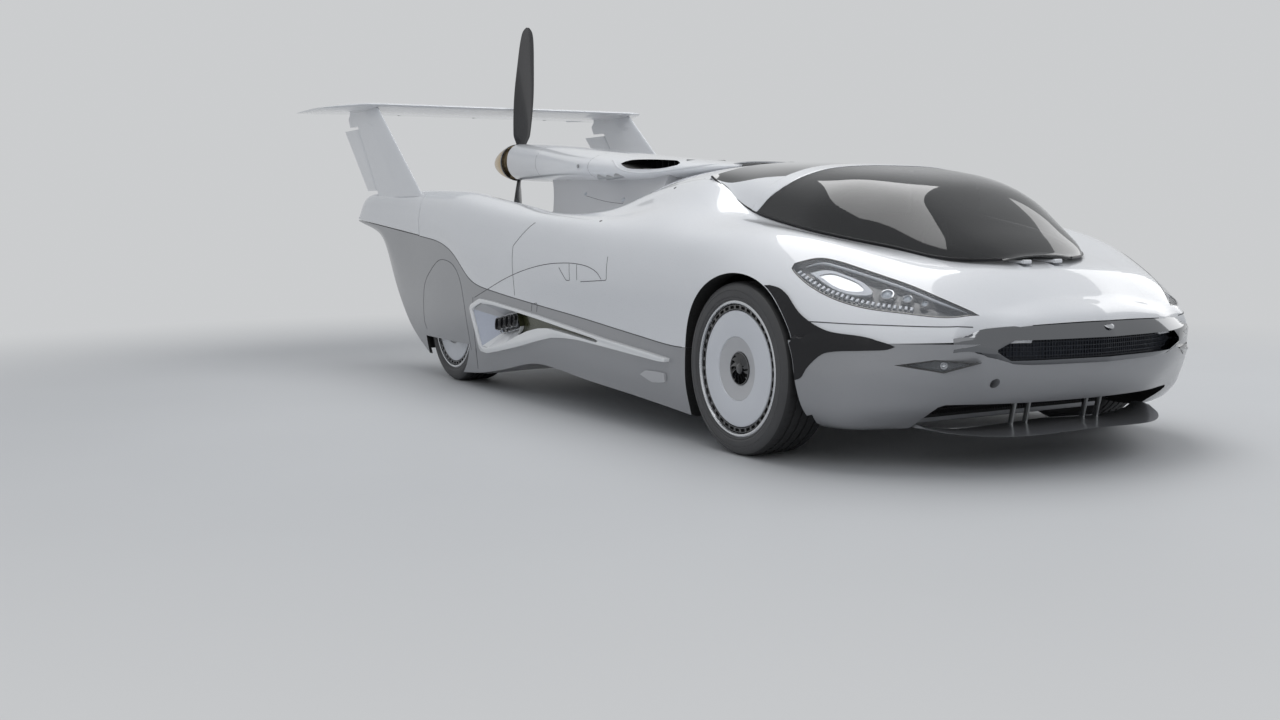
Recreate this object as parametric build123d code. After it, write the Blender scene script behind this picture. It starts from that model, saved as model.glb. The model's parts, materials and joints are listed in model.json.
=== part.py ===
from build123d import *
import math
import os

os.makedirs("parts", exist_ok=True)

# Frame, in millimetres: +X forward, +Y to the car's left, +Z up, Z 0 at the ground,
# X 0 half way between the tip of the nose and the tips of the tailplane.

# Axles, wheels and clearances
FRONT_AXLE_X = 2045.0
WHEELBASE = 2910.0
REAR_AXLE_X = FRONT_AXLE_X - WHEELBASE
TYRE_R = 335.0
TYRE_WIDTH = 225.0
RIM_R = 261.0
RIM_WALL = 12.0
DISC_IN = 30.0
DISC_THICK = 16.0
HUB_R = 64.0
HUB_IN = 58.0
HUB_LENGTH = 95.0
FRONT_TYRE_FACE_Y = 976.0
REAR_TYRE_FACE_Y = 936.0
KINGPIN_Y = 800.0
KINGPIN_R = 19.0
STUB_R = 26.0
STUB_END_IN = 66.0
ARM_Z = (225.0, 445.0)
ARM_R = 17.0
RUNNING_GAP = 0.05
LAY_GAP = 0.3
PANEL_GAP = 6.0

# Front arches and the lower hull between them
ARCH_LIP_R = 368.0
ARCH_ROOM_R = 422.0
ARCH_LIP_Y = 905.0
TUB_HALF_WIDTH = 572.0
TUB_WALL = 32.0
TUB_FLOOR_Z = 130.0
TUB_TOP_Z = 440.0
TUB_FRONT_X = 2450.0

# Cabin
CABIN_HALF_WIDTH = TUB_HALF_WIDTH - TUB_WALL
CABIN_FLOOR_Z = 215.0
CABIN_FRONT_X = 2380.0
CABIN_REAR_X = 760.0
BULKHEAD_X = 700.0
FIREWALL_TOP_Z = 745.0
CANOPY_REAR_X = 1290.0
GLASS_THICK = 16.0
DECK_WALL = 26.0
SEAT_Y = 262.0
SEAT_HALF_WIDTH = 215.0
YOKE_X = 1900.0
YOKE_Z = 745.0
YOKE_R = 165.0
YOKE_TUBE_R = 14.0

# Canopy hinge, on pins across two pockets in the bonnet
HINGE_X = 2665.0
HINGE_Z = 743.0
HINGE_PIN_R = 4.0
HINGE_BARREL_R = 8.0
HINGE_Y = (60.0, 100.0)
HINGE_POCKET_SIDE = 10.0

# Tail, all measured from the rear axle
POD_FRONT_X = REAR_AXLE_X + 410.0
BOOM_SPLIT_X = REAR_AXLE_X - 425.0
SEAM_TAIL_X = REAR_AXLE_X - 120.0
SEAM_TAIL_Z = 783.0
SEAM_SLOPE = 0.08125
BEAM_Y = 868.0
BEAM_HALF_WIDTH = 20.0
BEAM_HALF_HEIGHT = 26.0
BEAM_FRONT_X = REAR_AXLE_X + 715.0
BEAM_REAR_X = REAR_AXLE_X - 1385.0
BEAM_CLEAR = 5.0
BEAM_END_CLEAR = 30.0
BEAM_OVER_SEAM = 85.0
BEAM_GUIDE_LENGTH = 70.0

PROP_X = REAR_AXLE_X - 1060.0
PROP_Z = 1270.0
PROP_R = 875.0
PROP_LEAN = 4.4
PROP_SHAFT_R = 30.0
PROP_HUB_R = 84.0
PROP_HUB_HALF = 38.0
BLADE_THICKNESS = 0.11
SPINNER_R = 118.0
SPINNER_LENGTH = 297.0

FIN_Y = 910.0
FIN_THICK = 50.0
STAB_Z = 1622.0
STAB_THICK = 56.0
STAB_LEAD_X = REAR_AXLE_X - 1160.0
STAB_TRAIL_X = REAR_AXLE_X - 1760.0
ELEVATOR_X = REAR_AXLE_X - 1780.0
ELEVATOR_TAIL_X = REAR_AXLE_X - 2090.0
ELEVATOR_HALF_SPAN = 856.0
ELEVATOR_END_GAP = 8.0
ELEVATOR_NOSE_R = 12.0
RUDDER_LOW = (REAR_AXLE_X - 1227.0, 1085.0)
RUDDER_HIGH = (REAR_AXLE_X - 1555.0, 1488.0)
RUDDER_TAIL_LOW = (REAR_AXLE_X - 1427.0, 1085.0)
RUDDER_TAIL_HIGH = (REAR_AXLE_X - 1863.0, 1484.0)
RUDDER_NOSE_R = 17.0
RUDDER_GAP = 24.0
PIN_R = 6.0
PIN_IN = 26.0

# Nose
BUMPER_REAR_X = 2390.0
BUMPER_TOP_Z = 472.0
NOSE_TIP_X = 2955.0
NOSE_TIP_Z = (505.0, 548.0)
NOSE_TIP_HALF_WIDTH = 150.0
RIDGE_DROP = 4.0
BUMPER_REAR_Y = {165: 880.0, 250: 945.0, 380: 975.0, 472: 975.0}
INTAKE_HALF_WIDTH = 600.0
INTAKE_TOP_Z = 250.0
TOW_Y = -440.0
TOW_Z = 330.0
TOW_R = 9.0
TOW_DEPTH = 60.0
TOW_SEAT_R = 17.0
TOW_FACE_X = 2840.0
FOG_LAMP_AT = (2812.0, 640.0, 396.0)
FOG_LAMP_ALONG = (205.0, -224.0, 5.0)
FOG_LAMP_NORMAL = (0.737, 0.675, 0.0)
SPLITTER_THICK = 14.0
STRUT_R = 6.0
STRUT_YS = (150.0, 222.0)

# Side trim with its pipes, and the pads under the hull
TRIM_FACE_Y = 998.0
TRIM_BACK_Y = 940.0
TRIM_POCKET_Y = 925.0
PIPE_COUNT = 4
PIPE_PITCH = 61.0
PIPE_FIRST_X = REAR_AXLE_X + 731.0
PIPE_FIRST_Z = 367.0
PIPE_RISE = 10.0
PIPE_R = 26.0
PIPE_WALL = 5.0
JACK_PAD_HALF = 55.0
JACK_PAD_HALF_WIDTH = 40.0
JACK_PAD_HEIGHT = 90.0
JACK_PADS = [
    # x, y, z of the lower face
    (1450, 700, 100),
    (REAR_AXLE_X + 915, 700, 130),
]


def behind(rows):
    """Rows of a table whose first column is the distance ahead of the rear axle, as rows in X."""
    return [(REAR_AXLE_X + row[0], *row[1:]) for row in rows]


# Upper body, right half mirrored to the left. One row a station, from nose to boom.
# inner: wall towards the cabin. crown: edge of canopy or deck. brow: fender ridge, or boom's inner top.
# shoulder, flank, seam: down the outside to the joint with the grey lower body.
UPPER = [
    # x, inner_y, crown_y, crown_z, brow_y, brow_z, shoulder_y, shoulder_z, flank_y, flank_z, seam_y, seam_z
    (2890, 340, 360, 562, 480, 545, 525, 522, 540, 500, 540, 480),
    (2705, 360, 385, 700, 600, 650, 715, 575, 762, 515, 775, 472),
    (2525, 396, 400, 752, 665, 722, 805, 630, 890, 535, 912, 468),
    (2315, 470, 500, 800, 715, 806, 885, 705, 962, 600, 975, 462),
    (2045, CABIN_HALF_WIDTH, 605, 852, 750, 863, 905, 795, 985, 680, 985, 440),
    (1645, CABIN_HALF_WIDTH, 622, 930, 760, 905, 930, 835, 985, 690, 970, 385),
    (1290, CABIN_HALF_WIDTH, 602, 1084, 740, 985, 930, 852, 985, 700, 970, 410),
    (800, CABIN_HALF_WIDTH, 600, 1030, 760, 935, 930, 878, 985, 720, 970, 452),
] + behind([
    # ahead of rear axle, then the same columns
    (1155, CABIN_HALF_WIDTH, 600, 900, 785, 932, 930, 915, 985, 740, 975, 492),
    (710, CABIN_HALF_WIDTH, 600, 815, 790, 978, 930, 952, 985, 760, 980, 530),
    (410, 545, 605, 785, 790, 1012, 928, 985, 985, 780, 980, 565),
    (90, 560, 620, 778, 790, 1050, 920, 1020, 978, 850, 972, 735),
    (-120, 580, 640, 795, 800, 1062, 915, 1034, 965, 900, 965, SEAM_TAIL_Z),
    (-425, 640, 680, 830, 812, 1072, 912, 1045, 955, 920, 955, 808),
])

# The part of each boom that slides: its lower face lies along the straight tail seam.
BOOM = behind([
    # ahead of rear axle, inner_y, inner edge's height above the seam,
    # brow_y, brow_z, shoulder_y, shoulder_z, flank_y, flank_z, seam_y
    (-431, 641, 22, 812, 1072, 912, 1045, 955, 920, 955),
    (-785, 790, 5, 862, 1074, 925, 1050, 948, 935, 948),
    (-1060, 808, 5, 872, 1070, 932, 1050, 945, 950, 945),
    (-1435, 815, 5, 875, 1064, 932, 1048, 942, 960, 940),
    (-1560, 825, 3, 872, 922, 925, 920, 935, 915, 935),
])

# Lower hull between the arches and the pods, both halves in one section.
LOWER = [
    # x, seam_y, seam_z, waist_y, waist_z, sill_y, sill_z, floor_y, floor_z
    (1645, 970, 385, 968, 240, 940, 112, 760, 110),
    (1276, 970, 410, 975, 270, 945, 138, 770, 125),
    (800, 970, 452, 980, 310, 950, 165, 780, 140),
] + behind([
    (1155, 975, 492, 985, 340, 950, 196, 780, 165),
    (710, 980, 530, 985, 340, 955, 125, 780, 120),
    (410, 980, 565, 980, 350, 955, 82, 700, 82),
])

# The hull between the rear wheels, which rises under the deck.
LOWER_TAIL = behind([
    # ahead of rear axle, low_y, low_z, high_y, high_z
    (410, 600, 82, 604, 565),
    (-120, 600, 230, 600, 640),
    (-425, 560, 480, 560, 700),
])

# Rear wheel pods, right half mirrored. inner_low and inner_top run up the inside.
PODS = behind([
    # ahead of rear axle, seam_y, seam_z, waist_y, waist_z, low_y, low_z, inner_low_y, inner_top_y
    (410, 980, 565, 980, 350, 955, 82, 625, 605),
    (90, 972, 735, 978, 430, 966, 64, 640, 620),
    (-120, 965, SEAM_TAIL_Z, 975, 480, 966, 75, 650, 640),
    (-261, 960, 795, 970, 520, 962, 127, 650, 650),
    (-625, 948, 824, 955, 600, 940, 272, 660, 690),
    (-870, 946, 844, 948, 680, 930, 472, 690, 765),
    (-1155, 942, 867, 940, 840, 925, 807, 770, 806),
    (-1560, 935, 900, 934, 896, 928, 890, 820, 822),
])

# Deck and roof behind the cabin, both halves in one section.
DECK = [
    # x, edge_y, edge_z, foot_y, foot_z, ridge_z
    (CANOPY_REAR_X, 602, 1084, 380, 1138, 1160),
    (800, 600, 1030, 380, 1110, 1146),
] + behind([
    (1155, 600, 900, 330, 1000, 1060),
    (710, 600, 815, 290, 860, 900),
    (410, 605, 785, 240, 810, 830),
    (-120, 640, 795, 160, 800, 805),
    (-425, 680, 830, 120, 830, 832),
])

# Canopy outside, both halves in one section; its base follows the upper body's crown.
CANOPY = [
    # x, base_y, base_z, low_y, low_z, mid_y, mid_z, top_z
    (2655, 150, 752, 120, 754, 80, 756, 758),
    (2585, 300, 753, 275, 772, 190, 800, 815),
    (2495, 400, 766, 375, 800, 255, 850, 872),
    (2375, 455, 796, 425, 850, 290, 925, 955),
    (2205, 548, 830, 505, 915, 345, 1010, 1050),
    (1985, 612, 872, 560, 975, 385, 1070, 1102),
    (1645, 618, 938, 560, 1040, 390, 1115, 1143),
    (CANOPY_REAR_X + PANEL_GAP, 598, 1091, 520, 1112, 370, 1142, 1163),
]

# Engine pod over the spine: flattened ahead, round at the propeller.
POD = behind([
    # ahead of rear axle, top_z, half_width, half_height
    (1665, 1170, 120, 12),
    (1265, 1202, 200, 45),
    (940, 1228, 262, 68),
    (310, 1285, 255, 90),
    (-435, 1352, 172, 112),
    (-835, 1378, 140, 118),
    (-1015, 1388, 118, 118),
])

SPINE = behind([
    # ahead of rear axle, foot_y, foot_z, top_y, top_z
    (1155, 300, 1005, 190, 1110),
    (710, 270, 855, 170, 1120),
    (310, 215, 800, 150, 1130),
    (-120, 150, 795, 110, 1150),
    (-425, 110, 825, 70, 1160),
])

ROOF_SCOOP = [
    # x, low_z, high_z, half_width
    (1110, 1140, 1160, 45),
    (1000, 1140, 1186, 96),
    (400, 1150, 1222, 110),
]

# Front bumper, plan outlines at four heights; half outlines from the arch to the centre.
BUMPER = [
    # z, corner_x, corner_y, cheek_x, cheek_y, end_x, end_y, quarter_x, quarter_y, front_x, front_y
    (165, 2540, 840, 2610, 700, 2660, 520, 2690, 330, 2700, 120),
    (250, 2560, 890, 2690, 735, 2800, 510, 2865, 320, 2890, 120),
    (380, 2545, 912, 2705, 770, 2865, 530, 2935, 330, 2965, 120),
    (472, 2525, 912, 2705, 775, 2885, 540, 2955, 330, 2988, 120),
]

BONNET_RIDGE = [
    # x, ridge_z
    (2460, 748),
    (2525, 748),
    (2655, 745),
    (2705, 720),
    (2890, 598),
]

GRILLE = [
    # y, front_x, rear_x, top_z, bottom_z
    (0, 3015, 2900, 540, 392),
    (300, 2975, 2870, 535, 394),
    (480, 2915, 2810, 525, 412),
    (565, 2868, 2800, 500, 455),
]
GRILLE_INSET = [
    # y, face_x
    (0, 2975),
    (250, 2945),
    (440, 2885),
]
INSET_LOW_Z = 415.0
INSET_TOP_Z = 478.0
INSET_DEPTH = 45.0
INSET_REVEAL = 5.0

SPLITTER = [
    # y, front_x, rear_x, z
    (0, 2955, 2690, 148),
    (200, 2938, 2680, 141),
    (380, 2888, 2655, 135),
    (520, 2790, 2625, 143),
    (590, 2690, 2600, 158),
]

# Side trim seen square to the side: outside edge and the opening in it.
TRIM_TIP_X = FRONT_AXLE_X - 476.0
TRIM_OUTER = behind([
    # ahead of rear axle, z
    (375, 377),
    (513, 480),
    (1008, 440),
    (1846, 381),
]) + [
    (TRIM_TIP_X, 329),
    (TRIM_TIP_X, 316),
] + behind([
    (1652, 346),
    (1500, 345),
    (1287, 326),
    (1003, 274),
    (593, 211),
])
TRIM_INNER = behind([
    # ahead of rear axle, z
    (397, 378),
    (515, 464),
    (1400, 397),
    (1680, 372),
    (1680, 363),
    (1240, 362),
    (1003, 350),
    (800, 292),
    (570, 258),
])


def export(node, shape):
    shape.label = node
    export_step(shape, f"parts/{node}.step")


def polygon_wire(points):
    return Wire.make_polygon([Vector(*p) for p in points], close=True)


def loft_x(rows):
    """Ruled solid through YZ outlines, each given as (x, [(y, z), ...])."""
    return Solid.make_loft([polygon_wire([(x, y, z) for y, z in pts]) for x, pts in rows], ruled=True)


def loft_z(rows):
    return Solid.make_loft([polygon_wire([(x, y, z) for x, y in pts]) for z, pts in rows], ruled=True)


def loft_y(rows):
    return Solid.make_loft([polygon_wire([(x, y, z) for x, z in pts]) for y, pts in rows], ruled=True)


def box(x0, x1, y0, y1, z0, z1):
    return Pos((x0 + x1) / 2, (y0 + y1) / 2, (z0 + z1) / 2) * Box(abs(x1 - x0), abs(y1 - y0), abs(z1 - z0))


def rod_y(x, z, radius, y0, y1):
    return Pos(x, (y0 + y1) / 2, z) * Rot(90, 0, 0) * Cylinder(radius, abs(y1 - y0))


def rod_z(x, y, radius, z0, z1):
    return Pos(x, y, (z0 + z1) / 2) * Cylinder(radius, abs(z1 - z0))


def rod_x(y, z, radius, x0, x1):
    return Pos((x0 + x1) / 2, y, z) * Rot(0, 90, 0) * Cylinder(radius, abs(x1 - x0))


def rod_between(a, b, radius):
    start, end = Vector(*a), Vector(*b)
    return Solid.make_cylinder(radius, (end - start).length, Plane(origin=start, z_dir=end - start))


def left(shape):
    """The right-hand shapes are drawn at +Y, so the right side is their mirror image."""
    return shape


def right(shape):
    return shape.mirror(Plane.XZ)


def both(points):
    """A closed outline from its +Y half, which runs from the centre line to the centre line."""
    return points + [(-y, z) for y, z in reversed(points) if abs(y) > 0.01]


def row_at(table, x):
    """A row of a table at any x between its first and last station."""
    for a, b in zip(table, table[1:]):
        if a[0] >= x >= b[0]:
            t = (a[0] - x) / (a[0] - b[0])
            return tuple(p + (q - p) * t for p, q in zip(a, b))
    return table[0] if x > table[0][0] else table[-1]


def seam_z(x):
    return SEAM_TAIL_Z + (SEAM_TAIL_X - x) * SEAM_SLOPE


def arch_room(side=1):
    """Air around a front wheel: a round lip outside, and more room inside for steering."""
    lip = rod_y(FRONT_AXLE_X, TYRE_R, ARCH_LIP_R, TUB_HALF_WIDTH, 1200)
    room = rod_y(FRONT_AXLE_X, TYRE_R, ARCH_ROOM_R, TUB_HALF_WIDTH, ARCH_LIP_Y)
    below = box(FRONT_AXLE_X - ARCH_LIP_R, FRONT_AXLE_X + ARCH_LIP_R, TUB_HALF_WIDTH, 1200, -50, TYRE_R)
    return lip + room + below


def cabin_room():
    """The hollow in which the two people sit, with the footwell ahead of it."""
    return box(CABIN_REAR_X, CABIN_FRONT_X, -CABIN_HALF_WIDTH, CABIN_HALF_WIDTH, CABIN_FLOOR_Z, 1300)


def body_side():
    rows = [
        (x, [(iy, sz), (iy, cz), (cy, cz), (by, bz), (hy, hz), (fy, fz), (sy, sz)])
        for x, iy, cy, cz, by, bz, hy, hz, fy, fz, sy, sz in UPPER
    ]
    side = loft_x(rows) - arch_room()
    for part in beam_room():
        side = side - part
    return side


def beam_line(x):
    """Height of the sliding beam's centre, parallel to the tail seam."""
    return seam_z(x) + BEAM_OVER_SEAM


def beam_bar(front_x, rear_x, grow):
    def outline(x):
        z = beam_line(x)
        w, h = BEAM_HALF_WIDTH + grow, BEAM_HALF_HEIGHT + grow
        return [(BEAM_Y - w, z - h), (BEAM_Y + w, z - h), (BEAM_Y + w, z + h), (BEAM_Y - w, z + h)]
    return loft_x([(front_x, outline(front_x)), (rear_x, outline(rear_x))])


def beam_room():
    guide_x = BOOM_SPLIT_X + BEAM_GUIDE_LENGTH
    return [beam_bar(BEAM_FRONT_X + BEAM_END_CLEAR, guide_x, BEAM_CLEAR),
            beam_bar(guide_x + 1, BOOM_SPLIT_X - 20, LAY_GAP)]


def hull_tub():
    rows = []
    for x, sy, sz, wy, wz, ly, lz, fy, fz in LOWER:
        rows.append((x, [(sy, sz), (wy, wz), (ly, lz), (fy, fz), (-fy, fz), (-ly, lz), (-wy, wz), (-sy, sz)]))
    hull = loft_x(rows)
    front = box(LOWER[0][0], TUB_FRONT_X, -TUB_HALF_WIDTH, TUB_HALF_WIDTH, TUB_FLOOR_Z, TUB_TOP_Z)
    tail_rows = [(x, [(ly, lz), (hy, hz), (-hy, hz), (-ly, lz)]) for x, ly, lz, hy, hz in LOWER_TAIL]
    hull = hull + front + loft_x(tail_rows)
    return hull - cabin_room() - arch_room() - right(arch_room())


def wheel_slot():
    """Air around a rear wheel: round inside the pod, open below, with a skin left outside."""
    inner_y = REAR_TYRE_FACE_Y - TYRE_WIDTH - 14
    outer_y = REAR_TYRE_FACE_Y + 8
    around = rod_y(REAR_AXLE_X, TYRE_R, TYRE_R + 22, inner_y, outer_y)
    below = box(REAR_AXLE_X - TYRE_R - 22, REAR_AXLE_X + TYRE_R + 22, inner_y, outer_y, -60, TYRE_R)
    mouth = rod_y(REAR_AXLE_X, TYRE_R, TYRE_R + 10, inner_y, 1100)
    mouth = mouth & box(REAR_AXLE_X - TYRE_R, REAR_AXLE_X + TYRE_R, inner_y - 1, 1100, -60, 232)
    return around + below + mouth


def wheel_pod():
    rows = []
    for x, sy, sz, wy, wz, ly, lz, iy, ty in PODS:
        rows.append((x, [(sy, sz), (wy, wz), (ly, lz), (iy, lz), (ty, sz)]))
    return loft_x(rows) - wheel_slot()


def tail_boom():
    rows = []
    for x, iy, iz, by, bz, hy, hz, fy, fz, sy in BOOM:
        base = seam_z(x) + PANEL_GAP
        rows.append((x, [(iy, base), (iy + 4, base + iz), (by, bz), (hy, hz), (fy, fz), (sy, base)]))
    return loft_x(rows) - beam_bar(BOOM_SPLIT_X + 50, BEAM_REAR_X, 0)


def bonnet_section(half_width, edge_z, ridge):
    return both([(0, BUMPER_TOP_Z), (half_width, BUMPER_TOP_Z), (half_width, edge_z),
                 (half_width / 2, ridge - RIDGE_DROP), (0, ridge)])


def bonnet():
    rows = []
    for x, ridge in BONNET_RIDGE:
        _, inner_y, crown_y, crown_z = row_at(UPPER, x)[:4]
        crown_z = min(crown_z, ridge)
        rows.append((x, bonnet_section(inner_y, crown_z, ridge)))
    shape = loft_x(rows) + nose_tip()
    y0, y1 = HINGE_Y[0] - HINGE_POCKET_SIDE, HINGE_Y[1] + HINGE_POCKET_SIDE
    for side in (-1, 1):
        shape = shape - box(HINGE_X - 115, HINGE_X + 15, side * y0, side * y1, HINGE_Z - 16, 800)
    for side in (-1, 1):
        shape = shape + rod_y(HINGE_X, HINGE_Z, HINGE_PIN_R, side * (y0 - 5), side * (y1 + 5))
    return shape


def canopy_hinges():
    """Straps that run forward under the glass to barrels on the bonnet's pins."""
    straps = []
    for side in (-1, 1):
        y0, y1 = side * HINGE_Y[0], side * HINGE_Y[1]
        strap = box(2557, HINGE_X, y0, y1, HINGE_Z - 6, HINGE_Z + 6)
        foot = box(2557, 2584, y0, y1, HINGE_Z - 6, 758)
        barrel = rod_y(HINGE_X, HINGE_Z, HINGE_BARREL_R, y0, y1)
        bore = rod_y(HINGE_X, HINGE_Z, HINGE_PIN_R + RUNNING_GAP, y0 - side * 5, y1 + side * 5)
        straps.append(strap + foot + barrel - bore)
    return straps


def nose_tip():
    _, inner_y, _, crown_z = UPPER[0][:4]
    rear = bonnet_section(inner_y, crown_z, BONNET_RIDGE[-1][1])
    low, high = NOSE_TIP_Z
    width = NOSE_TIP_HALF_WIDTH
    front = both([(0, low), (width, low), (width, high - 8), (width / 2, high - 2), (0, high)])
    return loft_x([(UPPER[0][0], rear), (NOSE_TIP_X, front)])


def nose_lower():
    rows = []
    for z, cx, cy, kx, ky, ex, ey, qx, qy, fx, fy in BUMPER:
        half = [(BUMPER_REAR_X, 0), (BUMPER_REAR_X, BUMPER_REAR_Y[z]),
                (cx, cy), (kx, ky), (ex, ey), (qx, qy), (fx, fy)]
        full = half + [(x, -y) for x, y in reversed(half) if y > 0.01]
        rows.append((z, full))
    nose = loft_z(rows)
    nose = nose - box(2300, 3100, -INTAKE_HALF_WIDTH, INTAKE_HALF_WIDTH, 100, INTAKE_TOP_Z)
    nose = nose - box(2300, 2456, -TUB_HALF_WIDTH - 3, TUB_HALF_WIDTH + 3, 100, 600)
    nose = nose - arch_room() - right(arch_room())
    seat = rod_x(TOW_Y, TOW_Z, TOW_SEAT_R, TOW_FACE_X, 3100)
    hole = rod_x(TOW_Y, TOW_Z, TOW_R, TOW_FACE_X - TOW_DEPTH, 3100)
    return nose - seat - hole - grille_room()


def grille_room():
    """The whole block that the chrome frame and its inset fill in the nose."""
    rows = []
    for y, fx, rx, tz, bz in GRILLE:
        mid = (tz + bz) / 2
        pts = [(fx, mid - 30), (fx, mid + 20), (fx - 30, tz), (rx, tz), (rx, bz), (fx - 25, bz)]
        rows.append((y, pts))
    return loft_y([(-y, pts) for y, pts in reversed(rows[1:])] + rows)


def inset_rows(front_x, back, low_z, top_z):
    """Sections of the grille's inset; back is measured rearward from its face."""
    half = [(y, [(x + front_x, low_z), (x + front_x, top_z), (x - back, top_z), (x - back, low_z)])
            for y, x in GRILLE_INSET]
    return [(-y, pts) for y, pts in reversed(half[1:])] + half


def grille_insert():
    return loft_y(inset_rows(0, INSET_DEPTH, INSET_LOW_Z, INSET_TOP_Z))


def grille_frame():
    window = loft_y(inset_rows(200, INSET_REVEAL, INSET_LOW_Z, INSET_TOP_Z))
    return grille_room() - grille_insert() - window


def canopy_outline(row, inset, drop):
    x, by, bz, ly, lz, my, mz, tz = row
    k = inset
    return both([(0, bz - drop), (by - k, bz - drop), (by - k, bz), (ly - k * 0.9, lz - k * 0.4),
                 (my - k * 0.5, mz - k * 0.85), (0, tz - k)])


def canopy_shell():
    outer = loft_x([(r[0], canopy_outline(r, 0, 0.01)) for r in CANOPY])
    inner_rows = [(r[0], canopy_outline(r, GLASS_THICK, 120)) for r in CANOPY[1:]]
    last = CANOPY[-1]
    inner_rows.append((last[0] - 40, canopy_outline(last, GLASS_THICK, 120)))
    return outer - loft_x(inner_rows)


def canopy_frame():
    """Rim inside the foot of the glass, with a hoop across its rear edge."""
    rows = []
    for row in CANOPY[1:]:
        x, by, bz = row[:3]
        y = by - GLASS_THICK
        rows.append((x, [(y - 34, bz), (y - 1, bz), (y - 1, bz + 16), (y - 34, bz + 12)]))
    rim = loft_x(rows)
    front_x, front_y, front_z = CANOPY[1][:3]
    half_bar = front_y - GLASS_THICK - 1
    bar = box(front_x - 30, front_x, -half_bar, half_bar, front_z, front_z + 10)
    last = CANOPY[-1]
    outer = canopy_outline(last, GLASS_THICK + 1, 0.01)
    inner = canopy_outline(last, GLASS_THICK + 26, 60)
    x = last[0]
    hoop = loft_x([(x, outer), (x + 34, outer)]) - loft_x([(x - 10, inner), (x + 50, inner)])
    return rim + right(rim) + bar + hoop + canopy_hinges()


def rear_deck():
    rows, inner = [], []
    wall = DECK_WALL
    for x, ey, ez, fy, fz, rz in DECK:
        iy = row_at(UPPER, x)[1]
        low = row_at(UPPER, x)[11]
        rows.append((x, both([(0, low), (iy, low), (iy, ez), (fy, fz), (0, rz)])))
        hollow = [(0, low - 60), (iy - wall, low - 60), (iy - wall, ez - wall), (fy - wall, fz - wall),
                  (0, rz - wall)]
        inner.append((x, both(hollow)))
    deck = loft_x(rows) - loft_x(inner[:-1])
    return deck - box(CANOPY_REAR_X - 30, 1400, -CABIN_HALF_WIDTH, CABIN_HALF_WIDTH, 300, 1000)


def cabin_walls():
    """Firewall ahead of the feet and bulkhead behind the seats."""
    firewall = box(CABIN_FRONT_X, TUB_FRONT_X, -TUB_HALF_WIDTH, TUB_HALF_WIDTH, TUB_TOP_Z - 10, FIREWALL_TOP_Z)
    _, edge_y, edge_z, foot_y, foot_z, ridge_z = row_at(DECK, BULKHEAD_X)
    top = DECK_WALL + 4
    low_z = TUB_TOP_Z - 10
    outline = both([(0, low_z), (CABIN_HALF_WIDTH, low_z), (CABIN_HALF_WIDTH, edge_z - top),
                    (foot_y, foot_z - top), (0, ridge_z - top)])
    bulkhead = loft_x([(CABIN_REAR_X, outline), (BULKHEAD_X, outline)])
    return firewall, bulkhead


def engine_pod():
    rows = []
    for x, top_z, half_width, half_height in POD:
        half = []
        for turn in range(-90, 91, 30):
            angle = math.radians(turn)
            half.append((half_width * math.cos(angle), top_z - half_height + half_height * math.sin(angle)))
        rows.append((x, half + [(-y, z) for y, z in reversed(half) if y > 0.01]))
    pod = loft_x(rows)
    shaft = rod_x(0, PROP_Z, PROP_SHAFT_R, PROP_X + 50, PROP_X - 30)
    canopy_side = box(CANOPY_REAR_X - PANEL_GAP, CABIN_FRONT_X, -400, 400, 1000, 1400)
    return pod + shaft - canopy_side


def spine_fairing():
    rows = [(x, [(fy, fz - 40), (ty, tz), (-ty, tz), (-fy, fz - 40)]) for x, fy, fz, ty, tz in SPINE]
    return loft_x(rows)


def engine_block():
    return box(POD_FRONT_X + 305, BULKHEAD_X - 200, -220, 220, 440, 815)


def roof_zone():
    half = [(1400, 330), (820, 300), (440, 150), (400, 60)]
    outline = half + [(x, -y) for x, y in reversed(half)]
    return loft_z([(z, outline) for z in (1000, 1300)])


def roof_scoop():
    rows = []
    for x, low, high, w in ROOF_SCOOP:
        rows.append((x, [(-w, low), (w, low), (w * 0.85, high), (-w * 0.85, high)]))
    return loft_x(rows)


def skin_patch(body, zone, shift):
    """Outer layer of a body inside a zone; the layer's depth is the shift."""
    whole = body & zone
    return whole - (Pos(*shift) * body)


def headlamp_zone():
    leaf = [(2838, 469), (2765, 655), (2700, 716), (2590, 778), (2480, 815), (2360, 850), (2245, 872),
            (2300, 770), (2420, 715), (2520, 675), (2615, 638), (2740, 545)]
    return loft_z([(z, leaf) for z in (515, 900)])


def arch_panel_zone():
    outline = [(2290, 662), (2330, 640), (2420, 560), (2517, 513), (2640, 492), (2722, 463), (2640, 446),
               (2523, 432), (2470, 380), (2425, 330), (2380, 330), (2330, 560)]
    return loft_y([(y, outline) for y in (650, 1100)])


def lamp_prism(depth_in, depth_out, scale):
    """Diamond prism on the bumper's cheek, along the cheek's normal."""
    centre = Vector(*FOG_LAMP_AT)
    along = Vector(*FOG_LAMP_ALONG).normalized()
    normal = Vector(*FOG_LAMP_NORMAL)
    plane = Plane(origin=centre - normal * depth_in, x_dir=along, z_dir=normal)
    diamond = [(-150, 8), (20, 20), (150, 12), (40, -26)]
    corners = [plane.from_local_coords(Vector(a * scale, b * scale, 0)) for a, b in diamond]
    face = Face(Wire.make_polygon(corners, close=True))
    return Solid.extrude(face, normal * (depth_in + depth_out))


def trim_prism(outline, y0, y1):
    return loft_y([(y, outline) for y in (y0, y1)])


def side_trim():
    return trim_prism(TRIM_OUTER, TRIM_BACK_Y, TRIM_FACE_Y) - trim_prism(TRIM_INNER, TRIM_POCKET_Y - 1, 1100)


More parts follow.
